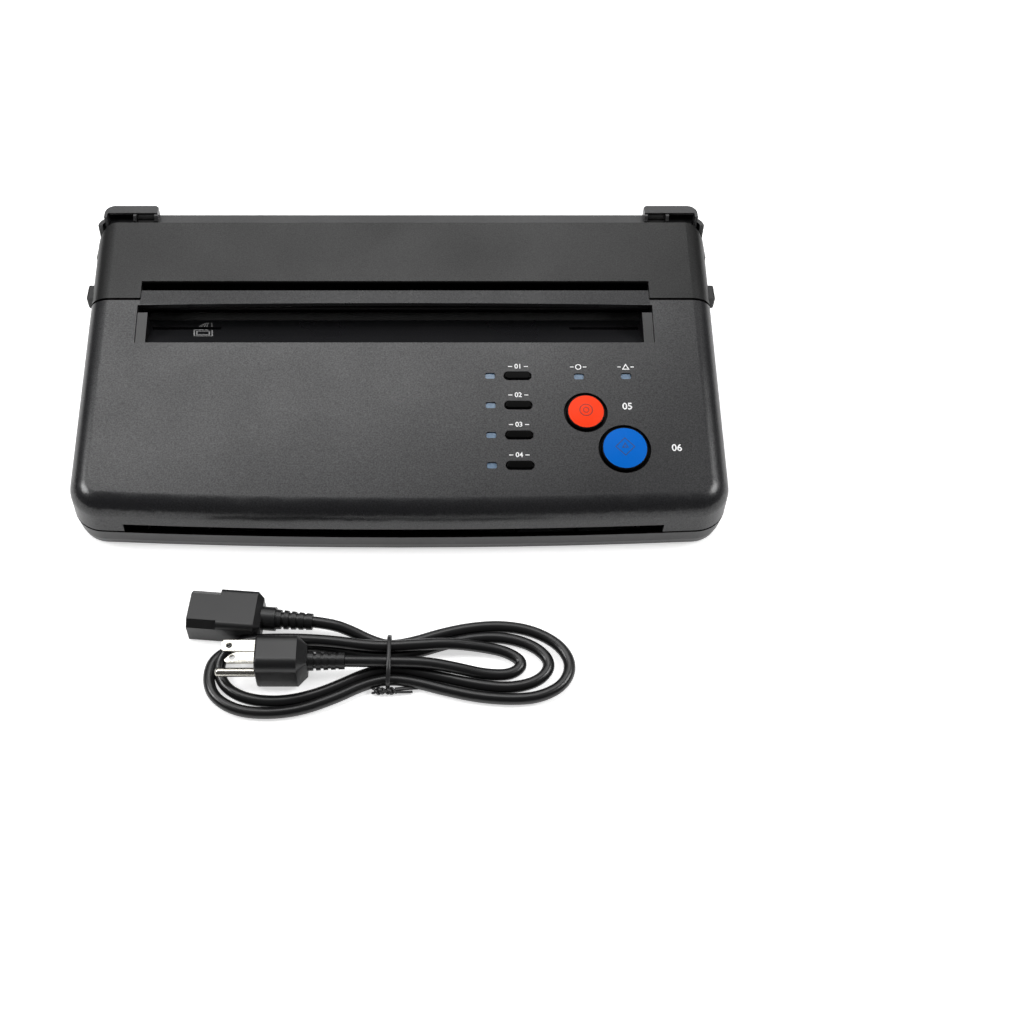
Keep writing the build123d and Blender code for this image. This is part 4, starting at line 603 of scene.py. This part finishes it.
capPrint = {"line": 0.5, "film": 0.03, "cuts": 4}  # each run is cut up, so that it bends over the domed cap
capMarks = {
    "stop": {"ink": "engravedRedLine", "shapes": [circle(3.5, 40), circle(1.5, 24)]},
    "copy": {"ink": "engravedBlueLine", "shapes": [circle(5.2, 4), circle(1.7, 3, (0, 0.3))]},
}
for name, capMark in capMarks.items():
    strokes = []
    for points in capMark["shapes"]:
        line = []
        for k, (x, y) in enumerate(points):
            nextX, nextY = points[(k + 1) % len(points)]
            shares = [cut / capPrint["cuts"] for cut in range(capPrint["cuts"])]
            line += [(x + (nextX - x) * share, y + (nextY - y) * share) for share in shares]
        strokes.append((line, True))
    cap = caps[name]
    mark = layOn(strokeFilm(strokes, capPrint["line"], capPrint["film"]), cap["node"], cap["place"], panel["tilt"])
    newPiece(name + "CapMark", mark, finish[capMark["ink"]], cap["node"])

# the pictogram of a fed sheet leaves out the band where the left guide's foot runs
feedIcon = {
    "place": (-115.3, 26.9), "tilt": -25.0, "line": 0.55, "film": 0.05, "narrow": 0.93, "lean": 0.155,
    "strokes": [
        ([(5.6, -0.5), (5.6, -9.6), (-5.6, -9.6), (-5.6, -0.5), (3.4, -0.5)], False),
        ([(5.6, 4.2), (5.6, 10.4)], False),
        ([(-3.9, -7.6), (-3.9, -2.4), (3.8, -2.4), (3.8, -7.6)], True),
        ([(-2.4, 4.2), (0.2, 8.6)], False),
        ([(-0.9, 4.2), (1.2, 9.6)], False),
        ([(0.8, 4.2), (2.2, 10.2)], False),
        ([(2.4, 4.2), (3.4, 10.4)], False)],
}
leaned = [([(x * feedIcon["narrow"] - feedIcon["lean"] * y, y) for x, y in points], closed)
          for points, closed in feedIcon["strokes"]]
film = strokeFilm(leaned, feedIcon["line"], feedIcon["film"])
mark = layOn(film, "front_housing", feedIcon["place"], feedIcon["tilt"])
# the pictogram's lines carry a painted highlight: a pale grey ink
newPiece("feedIcon", mark, finish["iconLinesPaintedHighlight"], "case")
print("marks laid")


# the twist tie round the lead: coated wire, once round the bundle, twisted and cut at the front

def tubeMesh(name, route, width, thick, sides):
    # a tube of oval section along a route in mm, extruded ring by ring
    shape = bmesh.new()
    quarterTurn = Matrix.Rotation(-pi / 2, 4, "Z")
    bmesh.ops.create_circle(shape, cap_ends=True, radius=1.0, segments=sides, matrix=quarterTurn)
    ring = list(shape.verts)
    endFace = list(shape.faces)[0]
    points = [Vector(p) for p in route]
    side = Vector((1, 0, 0))
    before = Matrix.Identity(4)
    for k, point in enumerate(points):
        ahead = (points[min(k + 1, len(points) - 1)] - points[max(k - 1, 0)]).normalized()
        side = (side - ahead * side.dot(ahead)).normalized()
        up = ahead.cross(side)
        section = Matrix((side * width / 2, up * thick / 2, ahead)).transposed() * mm
        placed = Matrix.Translation(point * mm) @ section.to_4x4()
        if k > 0:
            pulled = bmesh.ops.extrude_face_region(shape, geom=[endFace])["geom"]
            if k > 1:  # the first face stays as the tube's near end
                bmesh.ops.delete(shape, geom=[endFace], context="FACES_ONLY")
            ring = [v for v in pulled if isinstance(v, bmesh.types.BMVert)]
            endFace = [f for f in pulled if isinstance(f, bmesh.types.BMFace)][0]
        bmesh.ops.transform(shape, matrix=placed @ before.inverted(), verts=ring)
        before = placed
    bmesh.ops.recalc_face_normals(shape, faces=list(shape.faces))
    for face in shape.faces:
        face.smooth = True
    mesh = bpy.data.meshes.new(name)
    shape.to_mesh(mesh)
    shape.free()
    return mesh


def roundRoute(corners, steps):
    # a smooth run through the corners
    route = []
    last = len(corners) - 1
    for k in range(last):
        p0, p1, p2, p3 = [Vector(corners[min(max(i, 0), last)]) for i in range(k - 1, k + 3)]
        for i in range(steps):
            t = i / steps
            route.append(0.5 * ((2 * p1) + (p2 - p0) * t + (2 * p0 - 5 * p1 + 4 * p2 - p3) * t * t
                                + (3 * p1 - p0 - 3 * p2 + p3) * t ** 3))
    route.append(Vector(corners[-1]))
    return route


twistTie = {
    "loop": {"section": (2.3, 0.9), "sides": 10, "steps": 6, "corners": [
        (-5.4, -182.2, 4.6), (-5.2, -181.2, 7.6), (-4.9, -176.6, 11.6), (-4.8, -170.4, 13.1), (-4.7, -164.0, 12.9),
        (-4.7, -158.0, 11.4), (-4.6, -154.2, 8.4), (-4.6, -152.9, 4.6), (-4.7, -153.6, 1.2), (-4.8, -157.0, 0.5),
        (-5.0, -168.0, 0.5), (-5.2, -178.0, 0.5), (-5.4, -181.2, 1.3), (-5.4, -182.6, 3.4)]},
    "twist": {"section": (2.3, 1.3), "sides": 8, "steps": 48, "turns": 2.5, "radius": 1.1,
              "start": (-13.0, -183.9, 2.5), "length": 12.0},
    "tails": {"section": (2.6, 1.4), "sides": 8, "steps": 5, "corners": [
        [(-1.5, -183.2, 2.9), (3.0, -182.6, 2.7), (7.0, -182.0, 2.2), (10.5, -181.6, 1.8)],
        [(-1.5, -184.4, 2.2), (3.0, -184.2, 1.8), (7.5, -183.8, 1.3)]]},
}

loop = twistTie["loop"]
tieParts = [tubeMesh("twistLoop", roundRoute(loop["corners"], loop["steps"]), *loop["section"], loop["sides"])]
twist = twistTie["twist"]
startX, startY, startZ = twist["start"]
for phase in (0, pi):
    coil = []
    for k in range(twist["steps"] + 1):
        t = k / twist["steps"]
        turn = phase + 2 * pi * twist["turns"] * t
        coil.append((startX + twist["length"] * t, startY + twist["radius"] * cos(turn),
                     startZ + twist["radius"] * sin(turn)))
    tieParts.append(tubeMesh("twistStrand", coil, *twist["section"], twist["sides"]))
tails = twistTie["tails"]
for corners in tails["corners"]:
    tieParts.append(tubeMesh("twistTail", roundRoute(corners, tails["steps"]), *tails["section"], tails["sides"]))
tiePiece = newPiece("twistTie", joined(tieParts), finish["coatedTwistWire"], "case")
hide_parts("lead_tie")
print("twist tie made")


# floor, backdrop and light, in metres and watts

studio = {"floorSize": 6.0, "floorColour": "f6f6f6", "floorGlow": 0.6, "floorGloss": 0.32, "whiteFrom": 0.35,
          "whiteAt": 1.1, "skyCentre": (0.0, 0.5, 0.87), "skyEdge": 0.7, "skyFull": 0.97, "skyLow": 0.09,
          "skyHigh": 0.42}
softBoxes = {
    "keySoftBox": {"place": (-0.2, 0.54, 1.7), "size": (1.5, 0.55), "power": 9.5},
    "rearSoftBox": {"place": (0.0, 1.6, 1.5), "size": (2.4, 0.5), "power": 8.0},
    "rightSoftBox": {"place": (1.15, -0.06, 1.2), "size": (0.5, 0.5), "power": 11.0},
    "leftSoftBox": {"place": (-1.15, -0.06, 1.2), "size": (0.5, 0.5), "power": 11.0},
}
lightTarget = (0, 0, 0.03)


def whiteFloor():
    # matt white sheet: it takes the object's shadow, whitens with distance, and reads as pale in reflections
    material, tree = newMaterial("mattWhiteSheet")
    path = addNode(tree, "ShaderNodeLightPath")
    place = addNode(tree, "ShaderNodeTexCoord").outputs["Object"]
    away = addNode(tree, "ShaderNodeVectorMath", {0: place}, operation="LENGTH")
    whiter = addNode(tree, "ShaderNodeMapRange",
                     {"Value": away.outputs["Value"], "From Min": studio["whiteFrom"], "From Max": studio["whiteAt"],
                      "To Min": studio["floorGlow"], "To Max": 1.0})
    seen = addNode(tree, "ShaderNodeMath", {0: path.outputs["Is Camera Ray"], 1: whiter}, operation="MULTIPLY")
    glow = addNode(tree, "ShaderNodeMath", {0: path.outputs["Is Glossy Ray"], 1: studio["floorGloss"], 2: seen},
                   operation="MULTIPLY_ADD")
    light = addNode(tree, "ShaderNodeEmission", {"Color": (1, 1, 1, 1), "Strength": glow})
    sheet = addNode(tree, "ShaderNodeBsdfDiffuse", {"Color": toLinear(studio["floorColour"])})
    both = addNode(tree, "ShaderNodeAddShader", {0: light, 1: sheet})
    addNode(tree, "ShaderNodeOutputMaterial", {"Surface": both})
    return material


floorMesh = bpy.data.meshes.new("floor")
shape = bmesh.new()
bmesh.ops.create_grid(shape, x_segments=1, y_segments=1, size=studio["floorSize"] / 2)
shape.to_mesh(floorMesh)
shape.free()
floor = bpy.data.objects.new("floor", floorMesh)
bpy.context.scene.collection.objects.link(floor)
floorMesh.materials.append(whiteFloor())

# the room: bright overhead towards the rear, dim round the horizon, white where the camera sees past the floor
world = bpy.data.worlds.new("studio")
bpy.context.scene.world = world
world.use_nodes = True
sky = world.node_tree
sky.nodes.clear()
path = addNode(sky, "ShaderNodeLightPath")
direction = addNode(sky, "ShaderNodeTexCoord").outputs["Generated"]
facing = addNode(sky, "ShaderNodeVectorMath", {0: direction, 1: studio["skyCentre"]}, operation="DOT_PRODUCT")
rise = addNode(sky, "ShaderNodeMapRange",
               {"Value": facing.outputs["Value"], "From Min": studio["skyEdge"], "From Max": studio["skyFull"],
                "To Min": studio["skyLow"], "To Max": studio["skyHigh"]}, interpolation_type="SMOOTHSTEP")
level = addNode(sky, "ShaderNodeMath", {0: rise, 1: path.outputs["Is Camera Ray"]}, operation="MAXIMUM")
backdrop = addNode(sky, "ShaderNodeBackground", {"Color": (1, 1, 1, 1), "Strength": level})
addNode(sky, "ShaderNodeOutputWorld", {"Surface": backdrop})

for name, box in softBoxes.items():
    lampData = bpy.data.lights.new(name, "AREA")
    lampData.shape = "RECTANGLE"
    lampData.size, lampData.size_y = box["size"]
    lampData.energy = box["power"]
    lamp = bpy.data.objects.new(name, lampData)
    lamp.location = box["place"]
    lamp.rotation_euler = (Vector(lightTarget) - Vector(box["place"])).to_track_quat("-Z", "Y").to_euler()
    bpy.context.scene.collection.objects.link(lamp)
print("stage lit")

bpy.context.view_layer.update()
